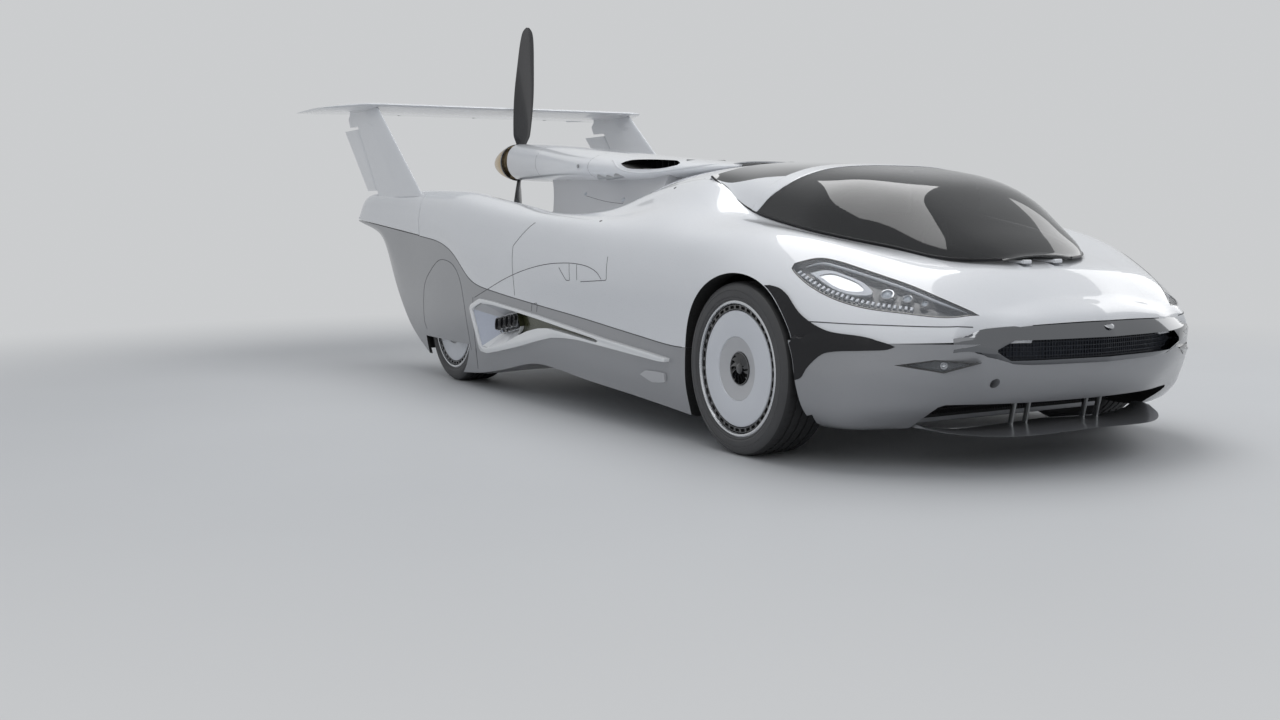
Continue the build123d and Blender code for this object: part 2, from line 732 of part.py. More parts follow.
def side_pipes():
    pipes = []
    for i in range(PIPE_COUNT):
        x, z = PIPE_FIRST_X + i * PIPE_PITCH, PIPE_FIRST_Z + i * PIPE_RISE
        tube = rod_y(x, z, PIPE_R, TRIM_POCKET_Y, TRIM_FACE_Y - 8)
        pipes.append(tube - rod_y(x, z, PIPE_R - PIPE_WALL, TRIM_POCKET_Y + 12, TRIM_FACE_Y))
    return pipes


def splitter():
    rows = []
    for y, fx, rx, z in SPLITTER:
        t = SPLITTER_THICK
        rows.append((y, [(fx, z - t * 0.3), (fx - 60, z + t * 0.5), (rx, z + t * 0.3), (fx - 60, z - t * 0.5)]))
    return loft_y([(-y, pts) for y, pts in reversed(rows[1:])] + rows)


def splitter_struts():
    struts = []
    for y in STRUT_YS:
        for side in (-1, 1):
            struts.append(rod_between((2740, side * y, 138), (2765, side * y, INTAKE_TOP_Z + 3), STRUT_R))
    return struts


def seat(side):
    profile = [(1640, 300), (1640, 395), (1560, 420), (1120, 385), (905, 925), (815, 930), (790, 900),
               (1010, 330), (1040, CABIN_FLOOR_Z), (1560, CABIN_FLOOR_Z)]
    y = side * SEAT_Y
    return loft_y([(y - SEAT_HALF_WIDTH, profile), (y + SEAT_HALF_WIDTH, profile)])


def dashboard():
    profile = [(2370, 520), (2370, 742), (2300, 752), (2130, 772), (2040, 745), (2030, 690),
               (2090, 560), (2160, 520)]
    return loft_y([(-CABIN_HALF_WIDTH, profile), (CABIN_HALF_WIDTH, profile)])


def steering_yoke():
    place = Pos(YOKE_X, SEAT_Y, YOKE_Z) * Rot(0, 65, 0)
    ring = place * Torus(YOKE_R, YOKE_TUBE_R)
    spoke = place * Box(30, 2 * YOKE_R, YOKE_TUBE_R)
    column = rod_between((YOKE_X, SEAT_Y, YOKE_Z), (2085, SEAT_Y, 660), 22)
    return ring + spoke + column


def suspension_arms():
    arms = []
    for side in (-1, 1):
        for z in ARM_Z:
            arm = rod_y(FRONT_AXLE_X, z, ARM_R, side * TUB_HALF_WIDTH, side * KINGPIN_Y)
            arms.append(arm - rod_z(FRONT_AXLE_X, side * KINGPIN_Y, KINGPIN_R + LAY_GAP, z - 60, z + 60))
    return arms


def knuckle():
    post = rod_z(FRONT_AXLE_X, KINGPIN_Y, KINGPIN_R, ARM_Z[0] - 25, ARM_Z[1] + 25)
    stub = rod_y(FRONT_AXLE_X, TYRE_R, STUB_R, KINGPIN_Y, FRONT_TYRE_FACE_Y - STUB_END_IN)
    return post + stub


def rear_axle():
    stubs = []
    for side in (-1, 1):
        stubs.append(rod_y(REAR_AXLE_X, TYRE_R, STUB_R, side * 560, side * (REAR_TYRE_FACE_Y - STUB_END_IN)))
    return stubs


def revolve_about_y(profile, x, z):
    """Ring from a (radius, y) outline turned about a line along Y."""
    face = Face(Wire.make_polygon([Vector(x + r, y, z) for r, y in profile], close=True))
    return Solid.revolve(face, 360, Axis((x, 0, z), (0, 1, 0)))


def tyre(x, face_y):
    w, r, bead = TYRE_WIDTH, TYRE_R, RIM_R
    y0, y1 = face_y - w, face_y
    profile = [(bead, y0 + 10), (bead + 18, y0), (r - 28, y0), (r - 8, y0 + 12), (r, y0 + 34),
               (r, y1 - 34), (r - 8, y1 - 12), (r - 28, y1), (bead + 18, y1), (bead, y1 - 10)]
    return revolve_about_y(profile, x, TYRE_R)


def rim(x, face_y):
    y1 = face_y - 12
    y0 = face_y - TYRE_WIDTH + 12
    inner_r = RIM_R - RIM_WALL
    barrel = revolve_about_y([(inner_r, y0), (RIM_R, y0), (RIM_R, y1), (inner_r, y1)], x, TYRE_R)
    disc = rod_y(x, TYRE_R, RIM_R - 1, face_y - DISC_IN - DISC_THICK, face_y - DISC_IN)
    hub = rod_y(x, TYRE_R, HUB_R, face_y - HUB_IN - HUB_LENGTH, face_y - DISC_IN)
    bore = rod_y(x, TYRE_R, STUB_R + RUNNING_GAP, face_y - HUB_IN - HUB_LENGTH - 1, face_y - HUB_IN)
    return barrel + disc + hub - bore


def blade(direction):
    """One blade: its chord and twist shrink from root to tip, read from a short table."""
    rows = [
        # radius, chord, pitch
        (70, 62, 60),
        (180, 118, 48),
        (400, 128, 32),
        (650, 106, 23),
        (820, 78, 18),
        (PROP_R, 30, 15),
    ]
    foil = [(-0.5, 0.0), (-0.15, 0.5), (0.25, 0.42), (0.5, 0.0), (0.2, -0.3), (-0.2, -0.35)]
    wires = []
    for r, chord, pitch in rows:
        a = math.radians(pitch)
        pts = []
        for along, thick in foil:
            u, v = along * chord, thick * chord * BLADE_THICKNESS
            x = PROP_X + u * math.sin(a) + v * math.cos(a)
            y = u * math.cos(a) - v * math.sin(a)
            pts.append(Vector(x, y, PROP_Z + r))
        wires.append(Wire.make_polygon(pts, close=True))
    shape = Solid.make_loft(wires, ruled=True)
    turn = PROP_LEAN if direction > 0 else PROP_LEAN + 180
    return Pos(0, 0, PROP_Z) * Rot(-turn, 0, 0) * Pos(0, 0, -PROP_Z) * shape


def propeller():
    hub = rod_x(0, PROP_Z, PROP_HUB_R, PROP_X - PROP_HUB_HALF, PROP_X + PROP_HUB_HALF)
    bore = rod_x(0, PROP_Z, PROP_SHAFT_R + RUNNING_GAP, PROP_X - 31, PROP_X + 60)
    return hub + blade(1) + blade(-1) - bore


def spinner():
    x0 = PROP_X - PROP_HUB_HALF
    length, r = SPINNER_LENGTH, SPINNER_R
    pts = [(x0, 0), (x0, r), (x0 - length * 0.35, r * 0.9), (x0 - length * 0.7, r * 0.6),
           (x0 - length * 0.92, r * 0.25), (x0 - length, 0)]
    face = Face(Wire.make_polygon([Vector(x, 0, PROP_Z + radius) for x, radius in pts], close=True))
    return Solid.revolve(face, 360, Axis((0, 0, PROP_Z), (1, 0, 0)))


def wedge(lead_a, lead_b, trail_a, trail_b, lead_half, trail_half, along):
    """Control surface that thins from its hinge line to its trailing edge; along is its span's direction."""
    def rect(a, b, half):
        n = Vector(*along) * half
        a, b = Vector(*a), Vector(*b)
        return Wire.make_polygon([a - n, a + n, b + n, b - n], close=True)
    return Solid.make_loft([rect(lead_a, lead_b, lead_half), rect(trail_a, trail_b, trail_half)], ruled=True)


def rudder_pins(grow):
    """Hinge pins that stand out of both ends of a rudder, along its hinge line."""
    low = Vector(RUDDER_LOW[0], FIN_Y, RUDDER_LOW[1])
    high = Vector(RUDDER_HIGH[0], FIN_Y, RUDDER_HIGH[1])
    along = (high - low).normalized() * (PIN_IN + RUDDER_NOSE_R)
    return [rod_between(low - along, low, PIN_R + grow), rod_between(high, high + along, PIN_R + grow)]


def elevator_pins(grow):
    reach = ELEVATOR_HALF_SPAN + PIN_IN
    return [rod_y(ELEVATOR_X, STAB_Z, PIN_R + grow, s * (ELEVATOR_HALF_SPAN - 5), s * reach) for s in (-1, 1)]


def rudder():
    a = (RUDDER_LOW[0], FIN_Y, RUDDER_LOW[1])
    b = (RUDDER_HIGH[0], FIN_Y, RUDDER_HIGH[1])
    ta = (RUDDER_TAIL_LOW[0], FIN_Y, RUDDER_TAIL_LOW[1])
    tb = (RUDDER_TAIL_HIGH[0], FIN_Y, RUDDER_TAIL_HIGH[1])
    plate = wedge(a, b, ta, tb, RUDDER_NOSE_R, 4, (0, 1, 0))
    return plate + rod_between(a, b, RUDDER_NOSE_R) + rudder_pins(0)


def fin():
    gap = RUDDER_GAP
    under = STAB_Z - STAB_THICK / 2
    low_x, high_x = RUDDER_LOW[0] + gap, RUDDER_HIGH[0] + gap
    outline = behind([(-470, 1040), (-1197, under), (-1695, under), (-1735, 1560), (-1705, 1506)])
    outline += [(high_x, 1506), (high_x + 6, RUDDER_HIGH[1])]
    outline += [(low_x + 6, RUDDER_LOW[1] - 1), (low_x + 16, 1040)]
    plate = loft_y([(FIN_Y - FIN_THICK / 2, outline), (FIN_Y + FIN_THICK / 2, outline)])
    return plate


def stabiliser():
    t = STAB_THICK / 2

    def outline(lead, trail, scale):
        return [(lead, STAB_Z), (lead - 60, STAB_Z + t * scale), (trail, STAB_Z + 12 * scale),
                (trail, STAB_Z - 12 * scale), (lead - 60, STAB_Z - t * scale)]
    inner_y = ELEVATOR_HALF_SPAN + ELEVATOR_END_GAP
    middle = loft_y([(y, outline(STAB_LEAD_X, STAB_TRAIL_X, 1.0)) for y in (-inner_y, inner_y)])
    tip = loft_y([
        (inner_y, outline(STAB_LEAD_X, ELEVATOR_TAIL_X, 1.0)),
        (inner_y + 111, outline(STAB_LEAD_X - 25, ELEVATOR_TAIL_X - 20, 0.9)),
        (inner_y + 292, outline(STAB_LEAD_X - 410, ELEVATOR_TAIL_X - 60, 0.35)),
    ])
    return middle + tip + right(tip)


def elevator():
    a = (ELEVATOR_X, -ELEVATOR_HALF_SPAN, STAB_Z)
    b = (ELEVATOR_X, ELEVATOR_HALF_SPAN, STAB_Z)
    ta = (ELEVATOR_TAIL_X, -ELEVATOR_HALF_SPAN, STAB_Z)
    tb = (ELEVATOR_TAIL_X, ELEVATOR_HALF_SPAN, STAB_Z)
    nose = rod_y(ELEVATOR_X, STAB_Z, ELEVATOR_NOSE_R, -ELEVATOR_HALF_SPAN, ELEVATOR_HALF_SPAN)
    return wedge(a, b, ta, tb, ELEVATOR_NOSE_R, 3, (0, 0, 1)) + nose + elevator_pins(0)


def jack_pads():
    pads = []
    for x, y, z in JACK_PADS:
        for side in (-1, 1):
            pads.append(box(x - JACK_PAD_HALF, x + JACK_PAD_HALF, side * y - JACK_PAD_HALF_WIDTH,
                            side * y + JACK_PAD_HALF_WIDTH, z, z + JACK_PAD_HEIGHT))
    return pads


def minus(shape, *others):
    for other in others:
        shape = shape - other
    return shape


def solids(*shapes):
    return Compound([s for shape in shapes for s in shape.solids()])


def main_solid(shape):
    """The one large solid of a cut, without the slivers beside it."""
    return max(shape.solids(), key=lambda s: s.volume)


def mirrored(shape):
    return solids(shape, right(shape))


def build_body():
    grille = grille_frame()
    insert = grille_insert()
    side = minus(body_side(), grille_room())
    lamp = skin_patch(side, headlamp_zone(), (-14, -16, -18))
    nose = minus(nose_lower(), side, right(side))
    fogs = lamp_prism(40, 4, 1.0)
    fog = fogs & nose
    nose = minus(nose, fogs, right(fogs))
    panel_side = skin_patch(side, arch_panel_zone(), (-3, -14, 0))
    panel_nose = skin_patch(nose, arch_panel_zone(), (-3, -14, 0))
    side = minus(side, lamp, panel_side)
    nose = minus(nose, panel_nose, right(panel_nose))
    panel = panel_side + panel_nose
    deck = minus(rear_deck(), side, right(side))
    roof = skin_patch(deck, roof_zone(), (0, 0, -18))
    deck = deck - roof
    pod = engine_pod()
    spine = minus(spine_fairing(), pod)
    deck = minus(deck, spine)
    scoop = minus(roof_scoop(), deck, roof, pod)
    pod = minus(pod, deck, roof)
    pods = minus(wheel_pod(), side)
    pocket = trim_prism(TRIM_INNER, TRIM_POCKET_Y, 1100)
    hull = minus(hull_tub(), side, right(side), pocket, right(pocket))
    firewall, bulkhead = cabin_walls()
    hull = hull + minus(firewall, side, right(side)) + minus(bulkhead, side, right(side), deck, roof)
    trim = main_solid(minus(side_trim(), hull, side, pods))
    engine = minus(engine_block(), hull)
    tip = minus(bonnet(), grille_room(), side, right(side))
    axle = rear_axle()
    hull = minus(hull, *axle) + jack_pads()
    pods_pair = [minus(p, *axle) for p in (pods, right(pods))]
    foil = splitter()
    struts = [main_solid(minus(s, foil, nose)) for s in splitter_struts()]
    ahead = box(FRONT_AXLE_X, NOSE_TIP_X + 100, 0, 1200, 0, 1500)
    fender = main_solid(side & ahead)
    flank = main_solid(side - ahead)
    export("body_side_left", flank)
    export("body_side_right", right(flank))
    export("fender_left", fender)
    export("fender_right", right(fender))
    export("hull_tub", hull)
    export("wheel_pods", solids(*pods_pair))
    export("bonnet", tip)
    export("nose_lower", main_solid(nose))
    export("grille_frame", grille)
    export("grille_insert", insert)
    export("rear_deck", deck)
    export("roof_panel", roof)
    export("roof_scoop", scoop)
    export("engine_pod", pod)
    export("spine_fairing", spine)
    export("engine_block", engine)
    export("headlamps", mirrored(lamp))
    export("fog_lamps", mirrored(fog))
    export("arch_panels", mirrored(panel))
    export("side_trims", mirrored(trim))
    export("side_pipes", solids(*side_pipes(), *[right(p) for p in side_pipes()]))
    export("splitter", foil)
    export("splitter_struts", solids(*struts))
    export("seats", solids(seat(-1), seat(1)))
    export("dashboard", minus(dashboard(), side, right(side)))
    export("steering_yoke", minus(steering_yoke(), dashboard()))
    export("front_suspension", solids(*suspension_arms()))
    export("rear_axle", solids(*axle))


def build_moving():
    glass = canopy_shell()
    export("canopy_glass", glass)
    export("canopy_frame", main_solid(minus(canopy_frame(), glass)))
    pin_holes = rudder_pins(RUNNING_GAP)
    boom = minus(tail_boom(), *pin_holes)
    export("tail_booms", mirrored(boom))
    export("tail_beams", mirrored(beam_bar(BEAM_FRONT_X, -2250, 0)))
    stab = minus(stabiliser(), *elevator_pins(RUNNING_GAP))
    export("stabiliser", stab)
    export("fins", mirrored(minus(fin(), boom, stab, *pin_holes)))
    export("elevator", elevator())
    axles = [("front", FRONT_AXLE_X, FRONT_TYRE_FACE_Y), ("rear", REAR_AXLE_X, REAR_TYRE_FACE_Y)]
    for side_name, turn in (("left", left), ("right", right)):
        export("rudder_" + side_name, turn(rudder()))
        export("knuckle_" + side_name, turn(knuckle()))
        for end, x, face_y in axles:
            export(f"tyre_{end}_{side_name}", turn(tyre(x, face_y)))
            export(f"rim_{end}_{side_name}", turn(rim(x, face_y)))
    export("propeller", propeller())
    export("spinner", spinner())


build_body()
build_moving()
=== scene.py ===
import json
import math

import bmesh
import bpy
import numpy as np
from mathutils import Matrix, Vector
from mathutils.bvhtree import BVHTree

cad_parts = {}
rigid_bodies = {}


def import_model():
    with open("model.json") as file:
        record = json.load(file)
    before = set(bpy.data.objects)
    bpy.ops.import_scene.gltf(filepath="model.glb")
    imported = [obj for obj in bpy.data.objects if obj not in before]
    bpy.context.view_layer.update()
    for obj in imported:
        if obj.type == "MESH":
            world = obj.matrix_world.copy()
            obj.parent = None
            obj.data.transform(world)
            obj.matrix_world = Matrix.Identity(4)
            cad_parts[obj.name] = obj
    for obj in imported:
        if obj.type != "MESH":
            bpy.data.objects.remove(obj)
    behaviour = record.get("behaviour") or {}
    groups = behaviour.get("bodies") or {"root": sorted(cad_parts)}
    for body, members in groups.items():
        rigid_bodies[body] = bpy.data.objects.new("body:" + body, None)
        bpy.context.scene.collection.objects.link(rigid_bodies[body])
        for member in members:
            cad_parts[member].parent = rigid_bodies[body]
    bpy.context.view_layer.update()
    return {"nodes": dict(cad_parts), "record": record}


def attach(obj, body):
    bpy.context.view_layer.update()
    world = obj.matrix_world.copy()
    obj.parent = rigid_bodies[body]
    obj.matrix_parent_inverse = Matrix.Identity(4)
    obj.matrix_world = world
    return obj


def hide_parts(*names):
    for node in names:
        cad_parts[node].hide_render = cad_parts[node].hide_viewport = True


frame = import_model()

# Frame: metres, +X forward, +Y to the car's left, +Z up, as in the CAD.
FRONT_AXLE_X = 2.045
REAR_AXLE_X = -0.865
TYRE_R = 0.335
RIM_R = 0.261
FRONT_FACE_Y = 0.976
REAR_FACE_Y = 0.936
TYRE_WIDTH = 0.225
BOOM_SPLIT_X = -1.290
CANOPY_REAR_X = 1.290
CABIN_HALF_WIDTH = 0.540
ARCH_LIP_R = 0.368
ARCH_ROOM_R = 0.422
ARCH_LIP_Y = 0.905
TUB_HALF_WIDTH = 0.572
SEAM_SLOPE = 0.08125
PROP_X = -1.925
PROP_Z = 1.270
PROP_R = 0.875
PROP_LEAN = math.radians(4.4)
STAB_Z = 1.622
FIN_Y = 0.910
PANEL_LINE = 0.0038

# Photograph's camera: place, viewing direction, roll and lens.
CAMERA_AT = (6.4826, -3.9549, 0.9227)
CAMERA_AIM = (-0.86143, 0.49735, -0.10284)
CAMERA_ROLL = math.radians(-0.2695)
CAMERA_LENS = 39.375

# Upper body. crown: edge of canopy, bonnet or deck. brow: fender ridge. seam: joint with the grey lower body.
UPPER = [
    # x, inner_y, crown_y, crown_z, brow_y, brow_z, shoulder_y, shoulder_z, flank_y, flank_z, seam_y, seam_z
    (2.890, 0.340, 0.360, 0.562, 0.480, 0.545, 0.525, 0.522, 0.540, 0.500, 0.540, 0.480),
    (2.705, 0.360, 0.385, 0.700, 0.600, 0.650, 0.715, 0.575, 0.762, 0.515, 0.775, 0.472),
    (2.525, 0.396, 0.400, 0.752, 0.665, 0.722, 0.805, 0.630, 0.890, 0.535, 0.912, 0.468),
    (2.315, 0.470, 0.500, 0.800, 0.715, 0.806, 0.885, 0.705, 0.962, 0.600, 0.975, 0.462),
    (2.045, 0.540, 0.605, 0.852, 0.750, 0.863, 0.905, 0.795, 0.985, 0.680, 0.985, 0.440),
    (1.645, 0.540, 0.622, 0.930, 0.760, 0.905, 0.930, 0.835, 0.985, 0.690, 0.970, 0.385),
    (1.290, 0.540, 0.602, 1.084, 0.740, 0.985, 0.930, 0.852, 0.985, 0.700, 0.970, 0.410),
    (0.800, 0.540, 0.600, 1.030, 0.760, 0.935, 0.930, 0.878, 0.985, 0.720, 0.970, 0.452),
    (0.290, 0.540, 0.600, 0.900, 0.785, 0.932, 0.930, 0.915, 0.985, 0.740, 0.975, 0.492),
    (-0.155, 0.540, 0.600, 0.815, 0.790, 0.978, 0.930, 0.952, 0.985, 0.760, 0.980, 0.530),
    (-0.455, 0.545, 0.605, 0.785, 0.790, 1.012, 0.928, 0.985, 0.985, 0.780, 0.980, 0.565),
    (-0.775, 0.560, 0.620, 0.778, 0.790, 1.050, 0.920, 1.020, 0.978, 0.850, 0.972, 0.735),
    (-0.985, 0.580, 0.640, 0.795, 0.800, 1.062, 0.915, 1.034, 0.965, 0.900, 0.965, 0.783),
    (-1.290, 0.640, 0.680, 0.830, 0.812, 1.072, 0.912, 1.045, 0.955, 0.920, 0.955, 0.808),
]
# The boom goes on from the last station; its crown stands on the seam.
BOOM = [
    # x, inner_y, crown_y, crown_z, brow_y, brow_z, shoulder_y, shoulder_z, flank_y, flank_z, seam_y, seam_z
    (-1.650, 0.790, 0.794, 0.848, 0.862, 1.074, 0.925, 1.050, 0.948, 0.935, 0.948, 0.843),
    (-1.925, 0.808, 0.812, 0.870, 0.872, 1.070, 0.932, 1.050, 0.945, 0.950, 0.945, 0.865),
    (-2.300, 0.815, 0.819, 0.901, 0.875, 1.064, 0.932, 1.048, 0.942, 0.960, 0.940, 0.896),
    (-2.425, 0.825, 0.829, 0.909, 0.872, 0.930, 0.925, 0.926, 0.935, 0.918, 0.935, 0.906),
]
# Grey lower body, down the outside and along the floor; the pods take over behind x -0.455.
LOWER = [
    # x, seam_y, seam_z, waist_y, waist_z, sill_y, sill_z, floor_y
    (1.720, 0.970, 0.387, 0.966, 0.234, 0.938, 0.106, 0.758),
    (1.645, 0.970, 0.385, 0.968, 0.240, 0.940, 0.112, 0.760),
    (1.276, 0.970, 0.410, 0.975, 0.270, 0.945, 0.138, 0.770),
    (0.800, 0.970, 0.452, 0.980, 0.310, 0.950, 0.165, 0.780),
    (0.290, 0.975, 0.492, 0.985, 0.340, 0.950, 0.196, 0.780),
    (-0.155, 0.980, 0.530, 0.985, 0.340, 0.955, 0.125, 0.780),
    (-0.455, 0.980, 0.565, 0.980, 0.350, 0.955, 0.082, 0.625),
    (-0.775, 0.972, 0.735, 0.978, 0.430, 0.966, 0.064, 0.640),
    (-0.985, 0.965, 0.783, 0.975, 0.480, 0.966, 0.075, 0.650),
    (-1.126, 0.960, 0.795, 0.970, 0.520, 0.962, 0.127, 0.650),
    (-1.490, 0.948, 0.824, 0.955, 0.600, 0.940, 0.272, 0.660),
    (-1.735, 0.946, 0.844, 0.948, 0.680, 0.930, 0.472, 0.690),
    (-2.020, 0.942, 0.867, 0.940, 0.840, 0.925, 0.807, 0.770),
    (-2.425, 0.935, 0.900, 0.934, 0.896, 0.928, 0.890, 0.820),
]
POD_FRONT_X = -0.455
POD_TOP_Y = [(-0.455, 0.605), (-0.775, 0.620), (-1.490, 0.690), (-1.735, 0.765), (-2.425, 0.822)]
# Middle of the car: bonnet ahead of the canopy, roof and deck behind it.
MIDDLE = [
    # x, edge_y, edge_z, foot_y, foot_z, ridge_z
    (2.890, 0.360, 0.562, 0.180, 0.594, 0.598),
    (2.705, 0.385, 0.700, 0.190, 0.716, 0.720),
    (2.655, 0.389, 0.712, 0.192, 0.741, 0.745),
    (2.460, 0.430, 0.748, 0.210, 0.747, 0.748),
    (1.290, 0.602, 1.084, 0.380, 1.138, 1.160),
    (0.800, 0.600, 1.030, 0.380, 1.110, 1.146),
    (0.290, 0.600, 0.900, 0.330, 1.000, 1.060),
    (-0.155, 0.600, 0.815, 0.290, 0.860, 0.900),
    (-0.455, 0.605, 0.785, 0.240, 0.810, 0.830),
    (-0.985, 0.640, 0.795, 0.160, 0.800, 0.805),
    (-1.290, 0.680, 0.830, 0.120, 0.830, 0.832),
]
CANOPY = [
    # x, base_y, base_z, low_y, low_z, mid_y, mid_z, top_z
    (2.655, 0.150, 0.752, 0.120, 0.754, 0.080, 0.756, 0.758),
    (2.585, 0.300, 0.753, 0.275, 0.772, 0.190, 0.800, 0.815),
    (2.495, 0.400, 0.766, 0.375, 0.800, 0.255, 0.850, 0.872),
    (2.375, 0.455, 0.796, 0.425, 0.850, 0.290, 0.925, 0.955),
    (2.205, 0.548, 0.830, 0.505, 0.915, 0.345, 1.010, 1.050),
    (1.985, 0.612, 0.872, 0.560, 0.975, 0.385, 1.070, 1.102),
    (1.645, 0.618, 0.938, 0.560, 1.040, 0.390, 1.115, 1.143),
    (1.296, 0.598, 1.091, 0.520, 1.112, 0.370, 1.142, 1.163),
]
POD = [
    # x, top_z, half_width, half_height
    (0.800, 1.170, 0.120, 0.012),
    (0.400, 1.202, 0.200, 0.045),
    (0.075, 1.228, 0.262, 0.068),
    (-0.555, 1.285, 0.255, 0.090),
    (-1.300, 1.352, 0.172, 0.112),
    (-1.700, 1.378, 0.140, 0.118),
    (-1.880, 1.388, 0.118, 0.118),
]
SPINE = [
    # x, foot_y, foot_z, top_y, top_z
    (0.290, 0.300, 0.965, 0.190, 1.150),
    (-0.155, 0.270, 0.815, 0.170, 1.180),
    (-0.555, 0.215, 0.760, 0.150, 1.200),
    (-0.985, 0.150, 0.755, 0.110, 1.230),
    (-1.290, 0.110, 0.785, 0.070, 1.260),
]


# Curves and grids

def hermite(xs, ys, tangents, x):
    """Cubic through the points with the given slopes; xs ascending."""
    i = np.clip(np.searchsorted(xs, x, side="right") - 1, 0, len(xs) - 2)
    h = xs[i + 1] - xs[i]
    t = np.clip((x - xs[i]) / h, 0, 1)
    a = (1 + 2 * t) * (1 - t) ** 2
    b = t * (1 - t) ** 2
    c = t * t * (3 - 2 * t)
    d = t * t * (t - 1)
    return a * ys[i] + b * h * tangents[i] + c * ys[i + 1] + d * h * tangents[i + 1]


def monotone(xs, ys, x):
    """Cubic through the points that never swings past them."""
    xs, ys = np.asarray(xs, float), np.asarray(ys, float)
    if xs[0] > xs[-1]:
        xs, ys = xs[::-1], ys[::-1]
    h = np.diff(xs)
    slope = np.diff(ys) / h
    m = np.zeros(len(xs))
    m[0], m[-1] = slope[0], slope[-1]
    for k in range(1, len(xs) - 1):
        if slope[k - 1] * slope[k] > 0:
            w1, w2 = 2 * h[k] + h[k - 1], h[k] + 2 * h[k - 1]
            m[k] = (w1 + w2) / (w1 / slope[k - 1] + w2 / slope[k])
    return hermite(xs, ys, m, np.asarray(x, float))


def blur(values, step, sigma):
    """Smooths a sampled line, keeping its ends where they are."""
    reach = int(3 * sigma / step) + 1
    kernel = np.exp(-0.5 * (np.arange(-reach, reach + 1) * step / sigma) ** 2)
    kernel /= kernel.sum()
    v = np.asarray(values, float)
    front = 2 * v[0] - v[reach:0:-1]
    back = 2 * v[-1] - v[-2:-reach - 2:-1]
    padded = np.concatenate([front, v, back])
    return np.convolve(padded, kernel, mode="valid")


def columns(table, x, sigma=0.07):
    """Every column of a table of stations at each x, gently smoothed along the car."""
    table = np.asarray(table, float)
    fine = np.arange(table[:, 0].min(), table[:, 0].max() + 0.005, 0.01)
    out = []
    for k in range(1, table.shape[1]):
        line = blur(monotone(table[:, 0], table[:, k], fine), 0.01, sigma)
        out.append(np.interp(x, fine, line))
    return out


def flowing(points, count, sharp=0.0):
    """A smooth line through points, evenly sampled; sharp above 0 pulls it towards straight runs."""
    pts = np.asarray(points, float)
    chord = np.sqrt(np.linalg.norm(np.diff(pts, axis=0), axis=1))
    t = np.concatenate([[0], np.cumsum(chord)])
    slopes = np.zeros_like(pts)
    for k in range(len(pts)):
        if k == 0:
            slopes[k] = (pts[1] - pts[0]) / (t[1] - t[0])
        elif k == len(pts) - 1:
            slopes[k] = (pts[-1] - pts[-2]) / (t[-1] - t[-2])
        else:
            left = (pts[k] - pts[k - 1]) / (t[k] - t[k - 1])
            right = (pts[k + 1] - pts[k]) / (t[k + 1] - t[k])
            w = (t[k] - t[k - 1]) / (t[k + 1] - t[k - 1])
            slopes[k] = left * (1 - w) + right * w
    fine = np.linspace(0, t[-1], 12 * len(pts) + 1)
    smooth = np.stack([hermite(t, pts[:, a], slopes[:, a], fine) for a in range(pts.shape[1])], axis=1)
    if sharp > 0:
        straight = np.stack([np.interp(fine, t, pts[:, a]) for a in range(pts.shape[1])], axis=1)
        smooth = smooth * (1 - sharp) + straight * sharp
    run = np.concatenate([[0], np.cumsum(np.linalg.norm(np.diff(smooth, axis=0), axis=1))])
    even = np.linspace(0, run[-1], count)
    return np.stack([np.interp(even, run, smooth[:, a]) for a in range(pts.shape[1])], axis=1)


def grid_faces(rows, cols, close_cols=False, close_rows=False):
    faces = []
    for i in range(rows if close_rows else rows - 1):
        for j in range(cols if close_cols else cols - 1):
            a, b = i * cols + j, i * cols + (j + 1) % cols
            c, d = ((i + 1) % rows) * cols + (j + 1) % cols, ((i + 1) % rows) * cols + j
            faces.append((a, b, c, d))
    return faces


def new_object(name, verts, faces, material=None, smooth_angle=35):
    mesh = bpy.data.meshes.new(name)
    mesh.from_pydata([tuple(v) for v in verts], [], faces)
    obj = bpy.data.objects.new(name, mesh)
    bpy.context.scene.collection.objects.link(obj)
    outward(obj)
    finish_surface(obj, smooth_angle)
    if material:
        mesh.materials.append(material)
    return obj


def outward(obj):
    """Merges doubled points and turns every face outward."""
    bm = bmesh.new()
    bm.from_mesh(obj.data)
    bmesh.ops.remove_doubles(bm, verts=bm.verts, dist=1e-5)
    bmesh.ops.dissolve_degenerate(bm, edges=bm.edges, dist=1e-6)
    bmesh.ops.recalc_face_normals(bm, faces=bm.faces)
    bm.to_mesh(obj.data)
    bm.free()


def finish_surface(obj, angle=35):
    obj.data.shade_smooth()
    obj.data.set_sharp_from_angle(angle=math.radians(angle))


def loops(name, rings, material=None, closed_rows=False, angle=35):
    """A closed skin through rings of equal length, capped at both ends."""
    rows, cols = len(rings), len(rings[0])
    faces = grid_faces(rows, cols, close_cols=True, close_rows=closed_rows)
    if not closed_rows:
        faces.append(tuple(range(cols)))
        faces.append(tuple((rows - 1) * cols + k for k in range(cols)))
    return new_object(name, [p for ring in rings for p in ring], faces, material, angle)


def mirrored(obj, name):
    """The same piece on the other side of the car."""
    mesh = obj.data.copy()
    mesh.transform(Matrix.Diagonal((1, -1, 1, 1)))
    mesh.flip_normals()
    twin = bpy.data.objects.new(name, mesh)
    bpy.context.scene.collection.objects.link(twin)
    return twin


def baked(obj):
    graph = bpy.context.evaluated_depsgraph_get()
    mesh = bpy.data.meshes.new_from_object(obj.evaluated_get(graph))
    obj.modifiers.clear()
    obj.data = mesh
    return obj


